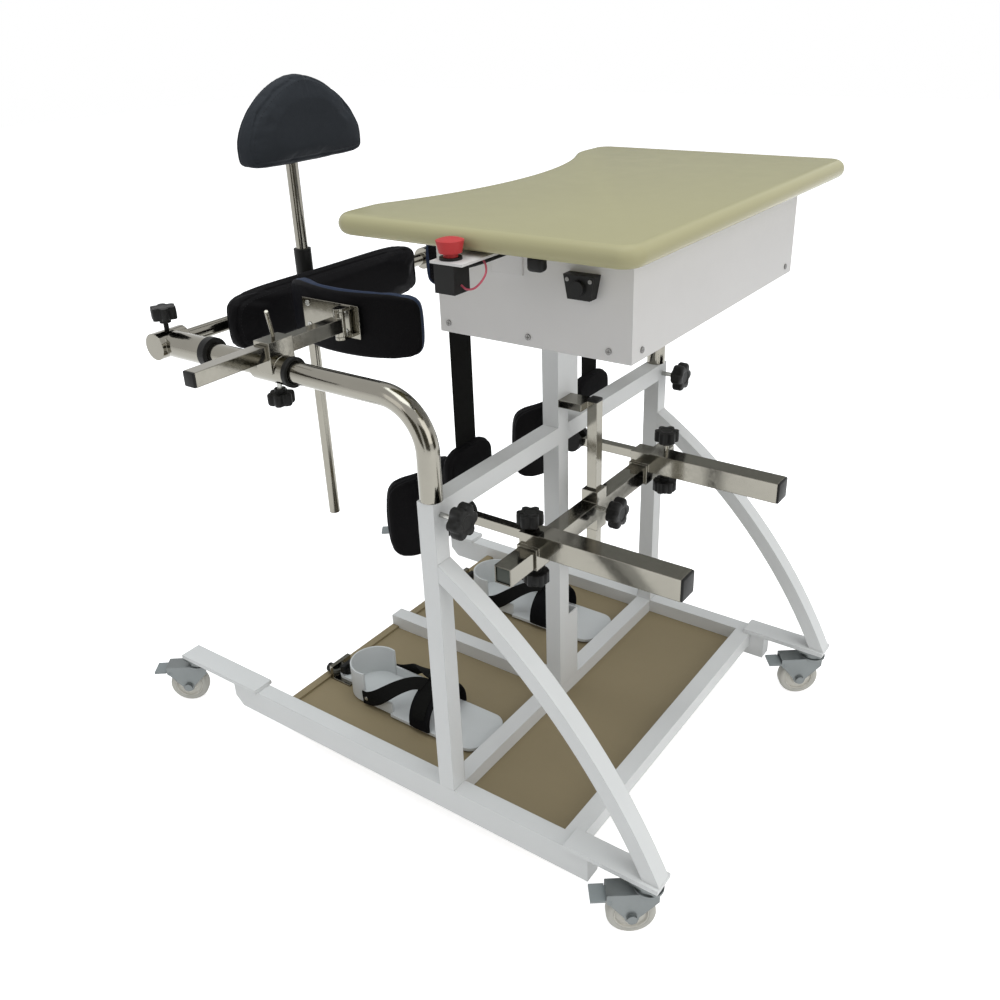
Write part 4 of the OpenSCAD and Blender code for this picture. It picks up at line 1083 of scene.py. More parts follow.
@dataclass
class LiftStraps:
    """The two straps from the sling pads over their guides into the housing. Sizes are in millimetres."""

    width: float = 50.0
    thick: float = 3.0
    flat: float = 0.94
    back_y: float = -55.8
    low_z: float = 636.0
    turn_y: float = -44.0
    turn_z: float = 886.0
    end_y: float = 60.0
    arc_steps: int = 10
    run_steps: int = 30

    def line(self) -> list[tuple[Vector, Vector]]:
        """Return the points of the middle line with the outward direction at each."""
        radius = self.turn_y - self.back_y
        stations = []
        for i in range(self.run_steps):
            z = self.low_z + (self.turn_z - self.low_z) * i / self.run_steps
            stations.append((at(0, self.back_y, z), Vector((0, -1, 0))))
        for i in range(self.arc_steps + 1):
            turn = math.pi - math.pi / 2 * i / self.arc_steps
            way = Vector((0, math.cos(turn), math.sin(turn)))
            stations.append((at(0, self.turn_y, self.turn_z) + way * radius / MM, way))
        stations.append((at(0, self.end_y, self.turn_z + radius), Vector((0, 0, 1))))
        return stations

    def build(self) -> None:
        """Loft both straps with the map that their weave follows."""
        section = strap_section(self.width / (2 * MM), self.thick / (2 * MM), self.flat)
        shape = Shape()
        for sign in SIDES.values():
            middle = Place.LIFT_X * sign / MM
            shape.loft([
                [spot + Vector((middle + x, 0, 0)) + out * t for x, t in section]
                for spot, out in self.line()
            ])
        made = Workshop.piece("lift_webbing", "base", shape, Finishes.WEBBING)
        map_weave(made, lambda spot: (abs(spot.x), spot.z + spot.y))
        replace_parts(made, "lift_straps")


@dataclass
class FootStrap:
    """The straps of a foot holder: an instep strap with a tab, and one up from each side of the heel.

    Sizes are in millimetres, and the tab's ends are shares of half a turn.
    """

    side: str
    sole_top: float = 80.4
    radius: float = 52.4
    rise: float = 8.0
    instep_y: float = -146.0
    thick: float = 5.0
    band: float = 46.0
    tab_half: float = 14.0
    tab_lift: float = 1.8
    tab_sunk: float = 1.0
    tab_start: float = 0.08
    tab_end: float = 0.62
    tab_tip: float = 0.6
    heel_y: float = -287.0
    heel_radius: float = 49.4
    top_radius: float = 60.0
    top_angle: float = 76.0
    strap: float = 29.0
    strap_thick: float = 3.0
    strap_flat: float = 0.9
    behind: float = 14.0
    settle: float = 0.8
    steps: int = 28
    leg_steps: int = 6
    fill: float = 0.5

    CROWN = 1.16
    # Shares of half the width and of the thickness, round the instep strap's section
    SECTION = (
        (-1.0, 0.2), (-0.9, 0.0), (0.9, 0.0), (1.0, 0.2), (1.0, 0.7), (0.86, 1.0), (0.4, CROWN),
        (-0.4, CROWN), (-0.86, 1.0), (-1.0, 0.7),
    )

    def arch(self) -> list[tuple[float, float, float, float]]:
        """Return the arch's points from the sole and back to it, each with its outward direction."""
        legs = range(self.leg_steps)
        line = [(self.radius, self.sole_top + self.rise * i / self.leg_steps, 1.0, 0.0) for i in legs]
        for i in range(self.steps + 1):
            turn = math.pi * i / self.steps
            c, s = math.cos(turn), math.sin(turn)
            line.append((self.radius * c, self.sole_top + self.rise + self.radius * s, c, s))
        return line + [(-x, z, -c, s) for x, z, c, s in line[:self.leg_steps][::-1]]

    def build(self) -> None:
        """Loft the instep strap with rounded edges, its tab, and the two heel straps."""
        centre, half = Place.FOOT_X * SIDES[self.side], self.band / 2
        rings = []
        for x, z, c, s in self.arch():
            rings.append([
                at(centre + x + c * t * self.thick, self.instep_y + y * half, z + s * t * self.thick)
                for y, t in self.SECTION
            ])
        shape = Shape()
        shape.loft(rings)
        self.tab(shape, centre)
        for sign in SIDES.values():
            self.heel_strap(shape, centre, sign)
        name, body = f"foot_strap_pads_{self.side}", f"foot_{self.side}"
        made = Workshop.piece(name, body, shape, Finishes.STRAP, Finishes.WEBBING)
        map_weave(made, lambda spot: (spot.y, spot.x + spot.z))
        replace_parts(made, f"foot_strap_{self.side}")

    def tab(self, shape: Shape, centre: float) -> None:
        """Add the closing tab, a narrower strip over the outer half of the arch.

        Args:
            shape: Shape that takes it.
            centre: Middle of the foot across the frame.
        """
        radius, base = self.radius + self.thick * self.CROWN, self.sole_top + self.rise
        rings = []
        for i in range(self.steps + 1):
            turn = math.pi * (self.tab_start + (self.tab_end - self.tab_start) * i / self.steps)
            c, s = math.cos(turn) * SIDES[self.side], math.sin(turn)
            half = self.tab_half * (self.tab_tip if i in (0, self.steps) else 1.0)
            low, high = radius - self.tab_sunk, radius + self.tab_lift
            ring = [(-half, low), (half, low), (half, high), (-half, high)]
            rings.append([at(centre + c * r, self.instep_y + y, base + s * r) for y, r in ring])
        shape.loft(rings, marks=[1] * self.steps)

    def heel_line(self, sign: int) -> list[tuple[Vector, Vector]]:
        """Return a heel strap's middle line from the cup to the instep, with its outward directions."""
        end_y = self.instep_y - self.behind
        line = []
        for i in range(self.steps + 1):
            share = i / self.steps
            turn = math.radians(self.top_angle) * share**2 * (3 - 2 * share)
            reach = self.heel_radius + (self.top_radius - self.heel_radius) * min(1.0, share / self.settle)
            out = Vector((sign * math.cos(turn), 0.0, math.sin(turn)))
            y = self.heel_y + (end_y - self.heel_y) * share
            line.append((Vector((0.0, y, self.sole_top + self.rise)) + out * reach, out))
        return line

    def heel_strap(self, shape: Shape, centre: float, sign: int) -> None:
        """Add one heel strap.

        Args:
            shape: Shape that takes it.
            centre: Middle of the foot across the frame.
            sign: Which side of the foot it is on.
        """
        section = strap_section(self.strap / 2, self.strap_thick / 2, self.strap_flat)
        line = self.heel_line(sign)
        rings = []
        for i, (spot, out) in enumerate(line):
            ahead = line[min(i + 1, self.steps)][0] - line[max(i - 1, 0)][0]
            wide = ahead.cross(out).normalized()
            rings.append([at(*(spot + Vector((centre, 0, 0)) + wide * w + out * t)) for w, t in section])
        shape.loft(rings, marks=[1] * self.steps)


@dataclass
class Tray:
    """The tray: a board with a half-round edge and a cut-out for the user's body, in millimetres."""

    half_width: float = 350.0
    rear: float = -133.0
    front: float = 319.0
    corner: float = 30.0
    notch_centre: float = -620.03
    notch_radius: float = 553.03
    shoulder: Spot = (276.7, -73.0)
    shoulder_radius: float = 60.0
    shoulder_angle: float = 63.17
    edge_steps: int = 14
    notch_steps: int = 40
    shoulder_steps: int = 8
    corner_steps: int = 10

    @staticmethod
    def arc(centre: Point, radius: float, start: float, end: float, count: int) -> list[Spot]:
        """Return points along an arc between two angles in degrees."""
        angles = [math.radians(start + (end - start) * i / count) for i in range(count + 1)]
        return [(centre[0] + radius * math.cos(a), centre[1] + radius * math.sin(a)) for a in angles]

    def outline(self, inset: float) -> list[Spot]:
        """Return the whole outline, drawn in by an inset."""
        x, small, turn = self.half_width - self.corner, self.corner - inset, self.shoulder_angle
        outer = self.shoulder_radius - inset
        right = self.arc((0, self.notch_centre), self.notch_radius + inset, 90, turn, self.notch_steps)
        right += self.arc(self.shoulder, outer, turn + 180, 270, self.shoulder_steps)
        right += self.arc((x, self.rear + self.corner), small, 270, 360, self.corner_steps)
        right += self.arc((x, self.front - self.corner), small, 0, 90, self.corner_steps)
        return right + [(-x, y) for x, y in right[:0:-1]]

    def build(self) -> None:
        """Loft the board through its edge."""
        lo, hi = (corner.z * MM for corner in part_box("tray"))
        bull = (hi - lo) / 2
        rings = []
        for i in range(self.edge_steps + 1):
            turn = math.pi * (i / self.edge_steps - 0.5)
            inset, z = bull * (1 - math.cos(turn)), lo + bull * (1 + math.sin(turn))
            rings.append([at(x, y, z) for x, y in self.outline(inset)])
        shape = Shape()
        shape.loft(rings)
        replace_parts(Workshop.piece("tray_board", "base", shape, Finishes.TRAY), "tray")


@dataclass
class Wheel:
    """A castor wheel: a soft tread on a moulded hub with a sunk face. Sizes are in millimetres."""

    castor: str
    radius: float = 37.5
    width: float = 24.0
    tread_round: float = 7.0
    hub: float = 14.0
    rim: float = 24.5
    dip: float = 4.0
    bore: float = 5.2
    tread_lip: float = 26.5
    round_steps: int = 6
    steps: int = 72

    def half(self) -> list[tuple[float, float, int]]:
        """Return the profile from the bore to the middle of the tread, with each stretch's finish."""
        hub, rim, lip, side = self.hub, self.rim, self.tread_lip, self.width / 2
        sunk = side - self.dip
        moulded = [
            (self.bore, side), (hub - 0.8, side), (hub, side - 0.8), (hub + 0.5, sunk + 0.6),
            (hub + 1.2, sunk), (rim - 1.2, sunk), (rim - 0.4, sunk + 0.7), (rim, side - 0.7),
            (rim + 0.6, side - 0.1),
        ]
        soft = [(lip - 0.4, side - 0.2), (lip, side - 0.9), (lip + 0.5, side - 0.1)]
        for i in range(self.round_steps + 1):
            turn = math.pi / 2 * (1 - i / self.round_steps)
            out, along = self.tread_round * (math.cos(turn) - 1), self.tread_round * (math.sin(turn) - 1)
            soft.append((self.radius + out, side + along))
        return [(*spot, 1) for spot in moulded] + [(*spot, 0) for spot in soft]

    def build(self) -> None:
        """Turn the wheel about its axle."""
        name = f"wheel_{self.castor}"
        joint = next(j for j in frame["joints"] if j["name"] == f"{name}_roll")
        near = self.half()
        far = [(r, -along, mark) for r, along, mark in near[::-1]]
        profile = [(r / MM, along / MM) for r, along, _ in near + far]
        marks = [mark for _, _, mark in near + far[1:] + far[-1:]]
        shape = Shape()
        shape.lathe(joint["pos_m"], joint["axis"], profile, marks, steps=self.steps)
        made = Workshop.piece(name, name, shape, Finishes.TREAD, Finishes.HUB)
        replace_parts(made, f"castor_{name}")


@dataclass
class Knob:
    """A lobed hand knob. Sizes are in millimetres."""

    name: str
    body: str
    top: Vector
    way: Vector
    screw_length: float = 0.0
    radius: float = 21.0
    height: float = 20.0
    grow: float = 0.0
    lobes: int = 6
    lobe_share: float = 0.3
    neck_share: float = 0.42
    neck: float = 6.0
    screw_radius: float = 4.0
    sunk: float = 2.0
    steps: int = 96
    neck_steps: int = 48
    screw_steps: int = 24

    # How far a grip stands over the solid's own knob
    OVER = 0.4
    # Widest share of a level that is still round, the softness of the lobes' roots, and their core
    ROUND_SHARE, BLEND, CORE = 0.4, 0.035, 0.8
    # Width of each level as a share, and its depth under the top as a share
    LEVELS = (
        (0.80, 1.0), (0.93, 0.965), (1.0, 0.86), (1.0, 0.28), (0.975, 0.14), (0.9, 0.045), (0.76, 0.0),
        (0.5, 0.0), (0.42, 0.03), (0.4, 0.06), (0.1, 0.07),
    )

    @classmethod
    def of_solid(cls, name: str, body: str, solid: str, axis: int, sign: int) -> "Knob":
        """Place a knob on the solid that it stands for.

        Args:
            name: Name of the piece.
            body: Body that it rides on.
            solid: Node of the solid.
            axis: Number of the axis that the knob faces along.
            sign: Which way it faces.

        Returns:
            The knob, its screw as long as the solid's.
        """
        lo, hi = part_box(solid)
        top, way = (lo + hi) / 2, Vector((0, 0, 0))
        top[axis] = hi[axis] if sign > 0 else lo[axis]
        way[axis] = sign
        wide = max((hi - lo)[i] for i in range(3) if i != axis) * MM / 2
        screw = (hi[axis] - lo[axis]) * MM - cls.height
        return cls(name, body, top, way, screw_length=screw, radius=wide)

    def lobed(self, turn: float) -> float:
        """Return the radius of the lobed outline at an angle, as a share of the knob's radius."""
        middle, core = 1 - self.lobe_share, 1 - self.CORE * self.lobe_share
        off = (turn + math.pi / self.lobes) % (2 * math.pi / self.lobes) - math.pi / self.lobes
        rest = self.lobe_share**2 - (middle * math.sin(off)) ** 2
        lobe = middle * math.cos(off) + math.sqrt(rest) if rest > 0 else 0.0
        return self.BLEND * math.log(math.exp(core / self.BLEND) + math.exp(lobe / self.BLEND))

    def build(self) -> Object:
        """Loft the head and turn its neck and screw."""
        turn = Vector((0, 0, 1)).rotation_difference(self.way).to_matrix()
        full, tall = self.radius + self.grow, self.height + 2 * self.grow
        angles = [2 * math.pi * i / self.steps for i in range(self.steps)]
        rings = []
        for share, depth in self.LEVELS:
            lobed = min(1.0, max(0.0, (share - self.ROUND_SHARE) / self.ROUND_SHARE))
            level = self.grow - tall * depth
            ring = []
            for a in angles:
                r = full * share * (1 + lobed * (self.lobed(a) - 1))
                ring.append(self.top + turn @ Vector((r * math.cos(a), r * math.sin(a), level)) / MM)
            rings.append(ring)
        shape = Shape()
        shape.loft(rings)
        neck = self.neck_share * self.radius + self.grow
        self.pin(shape, neck, self.sunk, -self.neck, 0, self.neck_steps)
        if self.screw_length > self.neck:
            self.pin(shape, self.screw_radius, 0.0, -self.screw_length, 1, self.screw_steps)
        return Workshop.piece(self.name, self.body, shape, Finishes.BLACK, Finishes.STEEL)

    def pin(self, shape: Shape, radius: float, high: float, low: float, mark: int, steps: int) -> None:
        """Turn a round pin under the head.

        Args:
            shape: Shape that takes it.
            radius: Its radius.
            high: Its upper end, from the underside of the head.
            low: Its lower end.
            mark: Finish number.
            steps: Faces round it.
        """
        bore = 0.1
        base = self.top - self.way * self.height / MM
        corners = [(bore, high), (radius, high), (radius, low), (bore, low)]
        profile = [(r / MM, along / MM) for r, along in corners]
        shape.lathe(base, self.way, profile, [mark] * len(profile), steps=steps)


def knobs() -> None:
    """Make every lobed knob."""
    up, down = Vector((0, 0, 1)), Vector((0, 0, -1))
    for side, sign in SIDES.items():
        for name, axis, way in ((f"side_knob_{side}", 2, -1), (f"post_knob_{side}", 1, 1)):
            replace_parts(Knob.of_solid(f"{name}_grip", name, name, axis, way).build(), name)
        top = at(Place.POST_X * sign, -540, 827.1)
        Knob(f"back_grip_{side}", "back_carriage", top, up, grow=Knob.OVER).build()
    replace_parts(Knob.of_solid("knee_knob_grip", "knee_knob", "knee_knob", 1, 1).build(), "knee_knob")
    for side, sign in SIDES.items():
        arm, x = f"knee_arm_{side}", Place.KNEE_X * sign
        lo, hi = (corner.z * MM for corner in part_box(arm))
        upper, lower = Place.KNEE_GRIPS[side]
        Knob(f"knee_grip_{side}", arm, at(x, upper, hi), up, grow=Knob.OVER).build()
        Knob(f"knee_grip_{side}_low", arm, at(x, lower, lo), down, grow=Knob.OVER).build()


@dataclass
class Trim:
    """Small fittings that the solids leave out: end plugs, rings and wiring, and blocks of painted shade in
    two open tube ends, in millimetres.
    """

    # How far an end plug, and the block of painted shade on the knee guide, stands out past its tube
    plug: float = 4.0
    seat: float = 1.0
    arm_half: float = 18.4
    arm_z: float = 500.8
    bar_half: float = 11.3
    cross_half: float = 12.9
    cross_z: float = 479.0
    # How far inside the knee cross bar's open end the grey block of painted shade reaches, from its back to
    # its face
    cross_ends: tuple[float, float] = (8.0, 1.5)
    # Half width of the black block of painted shade over the knee guide's open top
    shade_half: float = 9.6
    ring_y: float = -248.5
    ring_z: float = 767.0
    ring_inner: float = 17.6
    ring_outer: float = 23.2
    ring_width: float = 9.0
    ring_lap: float = 6.75
    ring_soft: float = 1.0
    ring_steps: int = 64
    # How far the block of painted shade over the knee guide laps down the tube
    shade_lap: float = 2.0
    arm_round: float = 2.5
    plug_and_shade_round: float = 2.0
    clip_round: float = 5.0
    # Corners of the clip, with its heights from the tray's underside
    clip_low: Point = (312.0, 162.0, -20.0)
    clip_high: Point = (328.0, 184.0, -0.4)
    wire: float = 2.6
    lead: float = 4.5

    def build(self) -> None:
        """Make every fitting."""
        for side, sign in SIDES.items():
            self.arm_plug(side, sign)
            self.bar_plug(side, sign)
            self.clamp_ring(side, sign)
            self.crossbar_mouth_shade(side, sign)
        self.guide_mouth_shade()
        self.clip()
        self.wiring()

    @staticmethod
    def block(name: str, body: str, lo: Vector, hi: Vector, radius: float, finish: Finish) -> None:
        """Make a rounded block.

        Args:
            name: Name of the piece.
            body: Body that it rides on.
            lo: Lowest corner.
            hi: Highest corner.
            radius: Edge radius.
            finish: Its finish.
        """
        shape = Shape()
        shape.rounded_block(lo, hi, radius / MM)
        Workshop.piece(name, body, shape, finish)

    def arm_plug(self, side: str, sign: int) -> None:
        """Close the front end of a knee arm."""
        half, x, z = self.arm_half, sign * Place.KNEE_X, self.arm_z
        front = (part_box(f"knee_arm_{side}")[1].y - POST_Y) * MM
        lo, hi = at(x - half, front - self.seat, z - half), at(x + half, front + self.plug, z + half)
        self.block(f"knee_arm_plug_{side}", f"knee_arm_{side}", lo, hi, self.arm_round, Finishes.BLACK)

    def bar_plug(self, side: str, sign: int) -> None:
        """Close the outer end of a side bar."""
        half, y, z = self.bar_half, Place.SIDE_BAR_Y, Place.SIDE_BAR_Z
        lo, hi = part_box(f"side_bar_{side}")
        end = (hi if sign > 0 else lo).x * MM
        low, high = sorted((end - sign * self.seat, end + sign * self.plug))
        lo, hi = at(low, y - half, z - half), at(high, y + half, z + half)
        self.block(f"side_bar_plug_{side}", f"side_bar_{side}", lo, hi, self.plug_and_shade_round, Finishes.BLACK)

    def crossbar_mouth_shade(self, side: str, sign: int) -> None:
        """Set a grey block a little inside one open end of the knee cross bar: painted shade that stands in
        for the dim hollow.
        """
        half, y, z = self.cross_half, Place.GUIDE_Y, self.cross_z
        end = max(abs(corner.x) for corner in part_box("knee_crossbar")) * MM
        low, high = sorted(sign * (end - inside) for inside in self.cross_ends)
        lo, hi = at(low, y - half, z - half), at(high, y + half, z + half)
        self.block(f"crossbar_mouth_shade_{side}", "knee_carriage", lo, hi, self.plug_and_shade_round, Finishes.MOUTH_SHADE)

    def clamp_ring(self, side: str, sign: int) -> None:
        """Put the black ring on the front end of a side clamp."""
        inner, outer, wide, soft = self.ring_inner, self.ring_outer, self.ring_width, self.ring_soft
        corners = [
            (inner, 0.0), (outer - soft, 0.0), (outer, soft), (outer, wide - soft), (outer - soft, wide),
            (inner, wide),
        ]
        profile = [(r / MM, along / MM) for r, along in corners]
        spot = at(Place.POST_X * sign, self.ring_y - self.ring_lap, self.ring_z)
        shape = Shape()
        shape.lathe(spot, (0, 1, 0), profile, [0] * len(profile), steps=self.ring_steps)
        Workshop.piece(f"clamp_ring_{side}", f"side_clamp_{side}", shape, Finishes.BLACK)

    def guide_mouth_shade(self) -> None:
        """Cover the knee guide's open top with a black block: painted shade that stands in for the dark
        hollow of the tube.
        """
        half, y, top = self.shade_half, Place.GUIDE_Y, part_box("knee_guide")[1].z * MM
        lo, hi = at(-half, y - half, top - self.shade_lap), at(half, y + half, top + self.plug)
        self.block("knee_guide_mouth_shade", "base", lo, hi, self.plug_and_shade_round, Finishes.BLACK)

    def clip(self) -> None:
        """Put the small black clip under the tray, near its edge."""
        under = Vector((0, 0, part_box("tray")[0].z))
        lo, hi = at(*self.clip_low) + under, at(*self.clip_high) + under
        self.block("tray_clip", "base", lo, hi, self.clip_round, Finishes.BLACK)

    def wiring(self) -> None:
        """Hang the red wire and the dark lead of the emergency button."""
        red = [
            (372, 99, 948), (372, 107, 944), (370, 117, 946), (364, 123, 953), (356, 124, 961),
            (348, 119, 967), (342, 112, 971), (340, 107, 975),
        ]
        dark = [
            (356, 96, 966), (340, 104, 968), (318, 112, 971), (296, 118, 974), (280, 120, 978),
            (270, 121, 982),
        ]
        self.cord("stop_wire", red, self.wire / MM, Finishes.RED_WIRE)
        self.cord("stop_lead", dark, self.lead / MM, Finishes.BLACK)

    @staticmethod
    def smooth(knots: Sequence[Vector], fine: int = 8) -> list[Vector]:
        """Return points of a smooth line through knots.

        Args:
            knots: Points that it runs through.
            fine: Points for each stretch.

        Returns:
            The points, from the first knot to the last.
        """
        ends = [knots[0] * 2 - knots[1], *knots, knots[-1] * 2 - knots[-2]]
        points = []
        for i in range(1, len(ends) - 2):
            a, b, c, d = ends[i - 1:i + 3]
            square, cube = 2 * a - 5 * b + 4 * c - d, 3 * b - a - 3 * c + d
            for step in range(fine):
                t = step / fine
                points.append(0.5 * (2 * b + (c - a) * t + square * t**2 + cube * t**3))
        return [*points, knots[-1]]

    def cord(self, name: str, line: Sequence[Point], diameter: float, finish: Finish) -> None:
        """Make a free cord through points.

        Args:
            name: Name of the piece.
            line: Its points in millimetres from the posts.
            diameter: Its diameter in metres.
            finish: Its finish.
        """
        points = self.smooth([at(*p) for p in line])
        curve = bpy.data.curves.new(name, "CURVE")
        curve.dimensions = "3D"
        curve.bevel_depth = diameter / 2
        curve.bevel_resolution = 4
        curve.use_fill_caps = True
        spline = curve.splines.new("POLY")
        spline.points.add(len(points) - 1)
        for knot, spot in zip(spline.points, points):
            knot.co = (*spot, 1.0)
        curve.materials.append(finish.material())
        made = Workshop.seat(Workshop.link(name, curve), "base", finish)


@dataclass
class Fasteners:
    """The screws of the housing, the hand socket and the side plates, and the rivets of the foot straps.

    Sizes and places are in millimetres, and a head's size is its radius and height in metres.
    """

    housing_side: float = 263.5
    housing_front: float = 237.0
    housing_rows: tuple[float, ...] = (-11.5, 119.0, 239.0)
    housing_rise: float = 13.0
    front_gap: float = 0.5
    housing_head: tuple[float, float] = (0.0042, 0.0022)
    socket_reach: float = 16.0
    socket_inset: float = 6.0
    socket_head: tuple[float, float] = (0.0026, 0.0016)
    plate_thick: float = 4.0
    plate_rows: tuple[float, ...] = (-372.0, -290.0)
    plate_levels: tuple[float, ...] = (-18.0, 18.0)
    plate_head: tuple[float, float] = (0.0048, 0.0026)
    rivet_reach: float = 51.6
    rivet_y: float = -277.0
    rivet_z: float = 89.5
    rivet_head: tuple[float, float] = (0.004, 0.002)

    def build(self) -> None:
        """Set every screw and rivet."""
        tree = ScrewTree()
        tree.screws("housing_screws", "base", self.housing(), Finishes.DARK_SCREW, *self.housing_head)
        tree.screws("socket_screws", "base", self.socket(), Finishes.DARK_SCREW, *self.socket_head)
        for side, sign in SIDES.items():
            face = plate_face(side) * MM + self.plate_thick
            corners = [
                (at(face * sign, y, Place.SIDE_BAR_Z + z), (sign, 0, 0))
                for y in self.plate_rows for z in self.plate_levels
            ]
            name, body = f"side_plate_screws_{side}", f"side_pad_{side}"
            tree.screws(name, body, corners, Finishes.STEEL, *self.plate_head)
            rivets = [
                (at(Place.FOOT_X * sign + way * self.rivet_reach, self.rivet_y, self.rivet_z), (way, 0, 0))
                for way in SIDES.values()
            ]
            tree.screws(f"foot_rivets_{side}", f"foot_{side}", rivets, Finishes.STEEL, *self.rivet_head)

    def housing(self) -> list[tuple[Point, Point]]:
        """Return the places of the screws along the housing's lower edge."""
        lo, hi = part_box("housing")
        z, front = lo.z * MM + self.housing_rise, (hi.y - POST_Y) * MM + self.front_gap
        places = []
        for sign in SIDES.values():
            places += [(at(self.housing_side * sign, y, z), (sign, 0, 0)) for y in self.housing_rows]
            places.append((at(self.housing_front * sign, front, z), (0, 1, 0)))
        return places

    def socket(self) -> list[tuple[Point, Point]]:
        """Return the places of the hand socket's two screws."""
        lo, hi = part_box("hand_socket")
        inset, x = self.socket_inset / MM, lo.x + self.socket_reach / MM
        return [((x, y, hi.z - inset), (1, 0, 0)) for y in (lo.y + inset, hi.y - inset)]


class Studio:
    """A pale floor, soft lights and the camera of the photograph."""

    CAMERA = (1.2835, 0.9861, 1.2492)
    LENS = 35.49
    YAW, PITCH, ROLL = math.radians(-143.52), math.radians(-26.92), math.radians(-2.23)
    DARK, GREY = (0.12, 0.11, 0.08, 1.0), (0.36, 0.36, 0.34, 1.0)

    def build(self) -> None:
        """Set the whole stage."""
        self.world()
        self.floor()
        self.lights()
        self.camera()
        bpy.context.scene.view_settings.view_transform = "Standard"

    @staticmethod
    def seen(tree: NodeTree) -> Any:
        """Return a mask of the rays that show the backdrop: camera, reflection and refraction."""
        path = node(tree, "ShaderNodeLightPath").outputs
        most = path["Is Camera Ray"]
        for label in ("Is Glossy Ray", "Is Transmission Ray"):
            most = node(tree, "ShaderNodeMath", {0: most, 1: path[label]}, operation="MAXIMUM").outputs[0]
        return most

    def world(self) -> None:
        """Make a white surround that lights softly."""
        world = bpy.data.worlds.new("studio")
        bpy.context.scene.world = world
        world.use_nodes = True
        tree = world.node_tree
        tree.nodes.clear()
        shown = node(tree, "ShaderNodeBackground", {"Color": (1.0, 1.0, 1.0, 1.0), "Strength": 1.0})
        light = node(tree, "ShaderNodeBackground", {"Color": (0.97, 0.98, 1.0, 1.0), "Strength": 0.42})
        mix = {0: self.seen(tree), 1: light.outputs[0], 2: shown.outputs[0]}
        shader = node(tree, "ShaderNodeMixShader", mix)
        node(tree, "ShaderNodeOutputWorld", {"Surface": shader.outputs[0]})

    def floor(self) -> None:
        """Lay a white floor that keeps a soft shadow."""
        half, glow_share = 12.0, 0.75
        made = self.sheet("floor", half, Matrix.Identity(3), (0, 0, 0), (0.86, 0.86, 0.86, 1.0), 0.7)
        tree = made.data.materials[0].node_tree
        shader = tree.nodes["Principled BSDF"]
        shader.inputs["Emission Color"].default_value = (1.0, 1.0, 1.0, 1.0)
        feed(tree, times(tree, self.seen(tree), glow_share), shader.inputs["Emission Strength"])

    @staticmethod
    def sheet(
        name: str, half: float, turn: Matrix, place: Point, color: Point, roughness: float
    ) -> Object:
        """Make a square sheet of one colour.

        Args:
            name: Its name.
            half: Half its side.
            turn: How it is turned from lying flat.
            place: Where its middle is.
            color: Its linear colour.
            roughness: Its roughness.

        Returns:
            The sheet.
        """
        corners = [(-half, -half, 0), (half, -half, 0), (half, half, 0), (-half, half, 0)]
        mesh = bpy.data.meshes.new(name)
        mesh.from_pydata([tuple(turn @ Vector(c) + Vector(place)) for c in corners], [], [(0, 1, 2, 3)])
        material = bpy.data.materials.new(name)
        material.use_nodes = True
        shader = material.node_tree.nodes["Principled BSDF"]
        shader.inputs["Base Color"].default_value = color
        shader.inputs["Roughness"].default_value = roughness
        mesh.materials.append(material)
        return Workshop.link(name, mesh)

    def lights(self) -> None:
        """Hang the soft lights."""
        self.panel("overhead", (0.4, 0.4, 6.0), (0, 0, 0.6), 5.0, 235.0, (0.93, 0.98, 1.0))
        self.panel("front", (0.5, 3.2, 1.9), (0, 0, 0.7), 2.6, 34.0, (1.0, 0.99, 0.97))
        self.panel("side", (3.2, -0.8, 1.8), (0, 0, 0.7), 1.6, 7.0, (1.0, 0.97, 0.93))
        self.flag("flag_camera", (2.3, 2.6, 1.0), (0, 0, 0.6), 2.2, self.DARK)
        self.flag("flag_side", (3.0, 0.2, 0.7), (0, 0, 0.5), 1.5, self.DARK)
        self.flag("flag_front", (-1.2, 3.4, 0.6), (0, 0, 0.5), 1.6, self.DARK)
        self.flag("flag_wall", (-2.9, -1.7, 1.8), (0, 0, 1.0), 3.2, self.GREY)

    @staticmethod
    def panel(name: str, place: Point, aim: Point, size: float, power: float, color: Point) -> None:
        """Hang one square light.

        Args:
            name: Its name.
            place: Where it hangs.
            aim: Point that it faces.
            size: Its side.
            power: Its power in watts.
            color: Its colour.
        """
        light = bpy.data.lights.new(name, "AREA")
        light.size = size
        light.energy = power
        light.color = color
        made = bpy.data.objects.new(name, light)
        made.location = place
        made.rotation_euler = (Vector(aim) - Vector(place)).to_track_quat("-Z", "Y").to_euler()
        bpy.context.scene.collection.objects.link(made)

    @staticmethod
    def flag(name: str, place: Point, aim: Point, size: float, color: Point) -> None:
        """Stand a panel that only reflections show, for contrast on the tubes and the tray.

        Args:
            name: Its name.
            place: Where it stands.
            aim: Point that it faces.
            size: Its side.
            color: Its linear colour.
        """
        turn = (Vector(aim) - Vector(place)).to_track_quat("Z", "Y").to_matrix()
        made = Studio.sheet(name, size / 2, turn, place, color, 0.9)
        made.visible_camera = False
        made.visible_diffuse = False
        made.visible_shadow = False
        made.visible_transmission = False

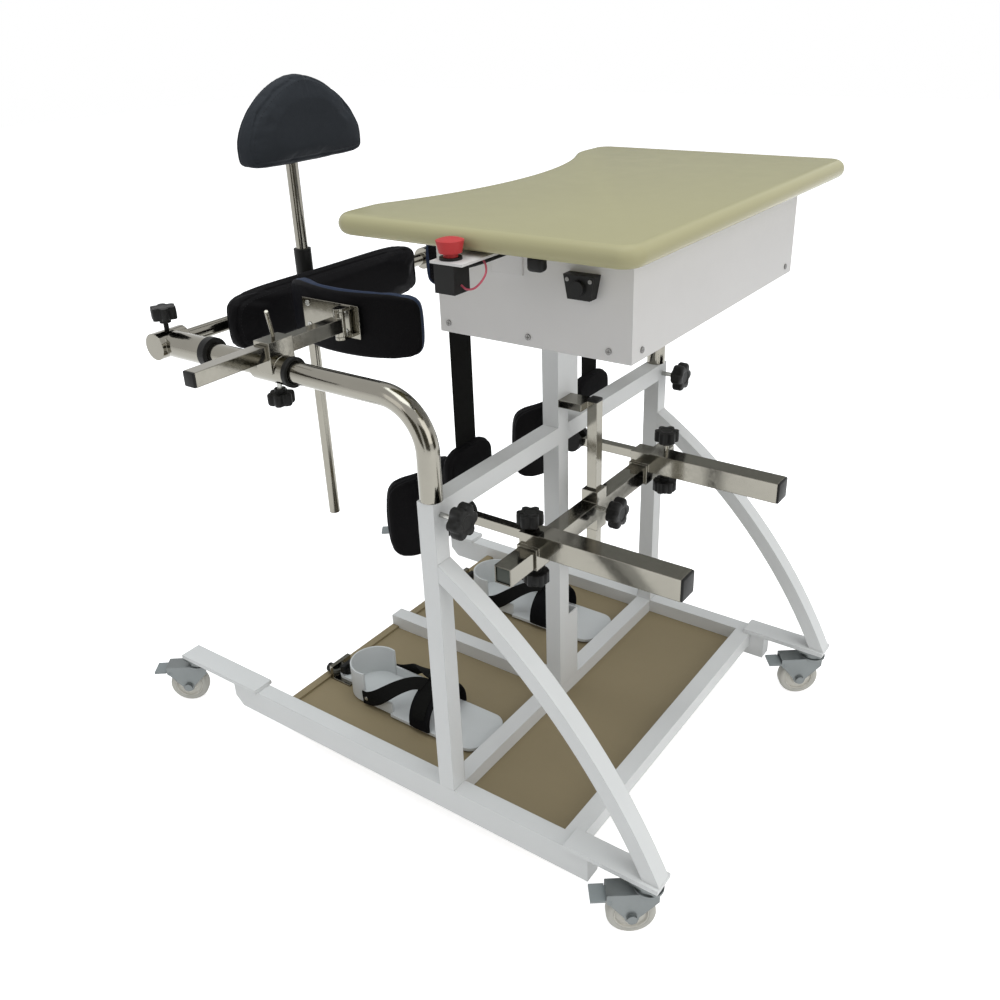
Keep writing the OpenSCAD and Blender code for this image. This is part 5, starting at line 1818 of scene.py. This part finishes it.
    def camera(self) -> None:
        """Stand the camera where the photograph was taken."""
        data = bpy.data.cameras.new("camera")
        data.lens = self.LENS
        made = bpy.data.objects.new("camera", data)
        bpy.context.scene.collection.objects.link(made)
        level = math.cos(self.PITCH)
        ahead = Vector((math.cos(self.YAW) * level, math.sin(self.YAW) * level, math.sin(self.PITCH)))
        right = ahead.cross(Vector((0, 0, 1))).normalized()
        up = right.cross(ahead)
        tilt_right = right * math.cos(self.ROLL) + up * math.sin(self.ROLL)
        tilt_up = up * math.cos(self.ROLL) - right * math.sin(self.ROLL)
        matrix = Matrix((tilt_right, tilt_up, -ahead)).transposed().to_4x4()
        matrix.translation = Vector(self.CAMERA)
        made.matrix_world = matrix
        bpy.context.scene.camera = made


Patch = tuple[Point, Point, Finish]


def black_box(middle: Point, half: float, deep: float, low: float, high: float) -> Patch:
    """Return the patch that blackens a box.

    Args:
        middle: Its middle across and ahead.
        half: Half its width.
        deep: Half its length from back to front.
        low: Its lower level.
        high: Its upper level.

    Returns:
        The two corners and the finish.
    """
    x, y = middle
    return at(x - half, y - deep, low), at(x + half, y + deep, high), Finishes.BLACK


def grip_patches(side: str) -> list[Patch]:
    """Return the patches that blacken the clamp knobs at the top and bottom of a knee arm."""
    half, tall, slack = 22.0, 26.2, 0.1
    lo, hi = (corner.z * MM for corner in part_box(f"knee_arm_{side}"))
    x = Place.KNEE_X * SIDES[side]
    levels = zip(Place.KNEE_GRIPS[side], (hi - tall, lo - slack))
    return [black_box((x, y), half, half, low, low + tall + slack) for y, low in levels]


# Parts of a solid whose finish differs from the rest of it
PATCHES: dict[str, list[Patch]] = {
    "stop_base": [
        (at(263, 60, 973.9), at(396, 120, 977.1), Finishes.SHEET),
        (at(263, 60, 930), at(266.3, 120, 977.1), Finishes.SHEET),
    ],
    **{f"knee_arm_{side}": grip_patches(side) for side in SIDES},
    "foot_brackets": [
        *[black_box((Place.FOOT_X * sign, -372), 20, 20, 80.6, 112) for sign in SIDES.values()],
        *[black_box((208.5 * sign, -408.5), 11, 11.5, 60, 104) for sign in SIDES.values()],
    ],
}


def main() -> None:
    """Dress the frame, build its soft and small pieces, and set the studio."""
    logging.basicConfig(level=logging.INFO, format="%(name)s: %(message)s")
    for name, finish in NODE_FINISH.items():
        dress(name, finish, PATCHES.get(name, ()))
    stitches = StitchTree()
    for pad in pads():
        pad.build(stitches)
    LiftStraps().build()
    for side in SIDES:
        FootStrap(side).build()
    Tray().build()
    for castor in CASTORS:
        Wheel(castor).build()
    knobs()
    Trim().build()
    Fasteners().build()
    Studio().build()


if __name__ == "__main__":
    main()
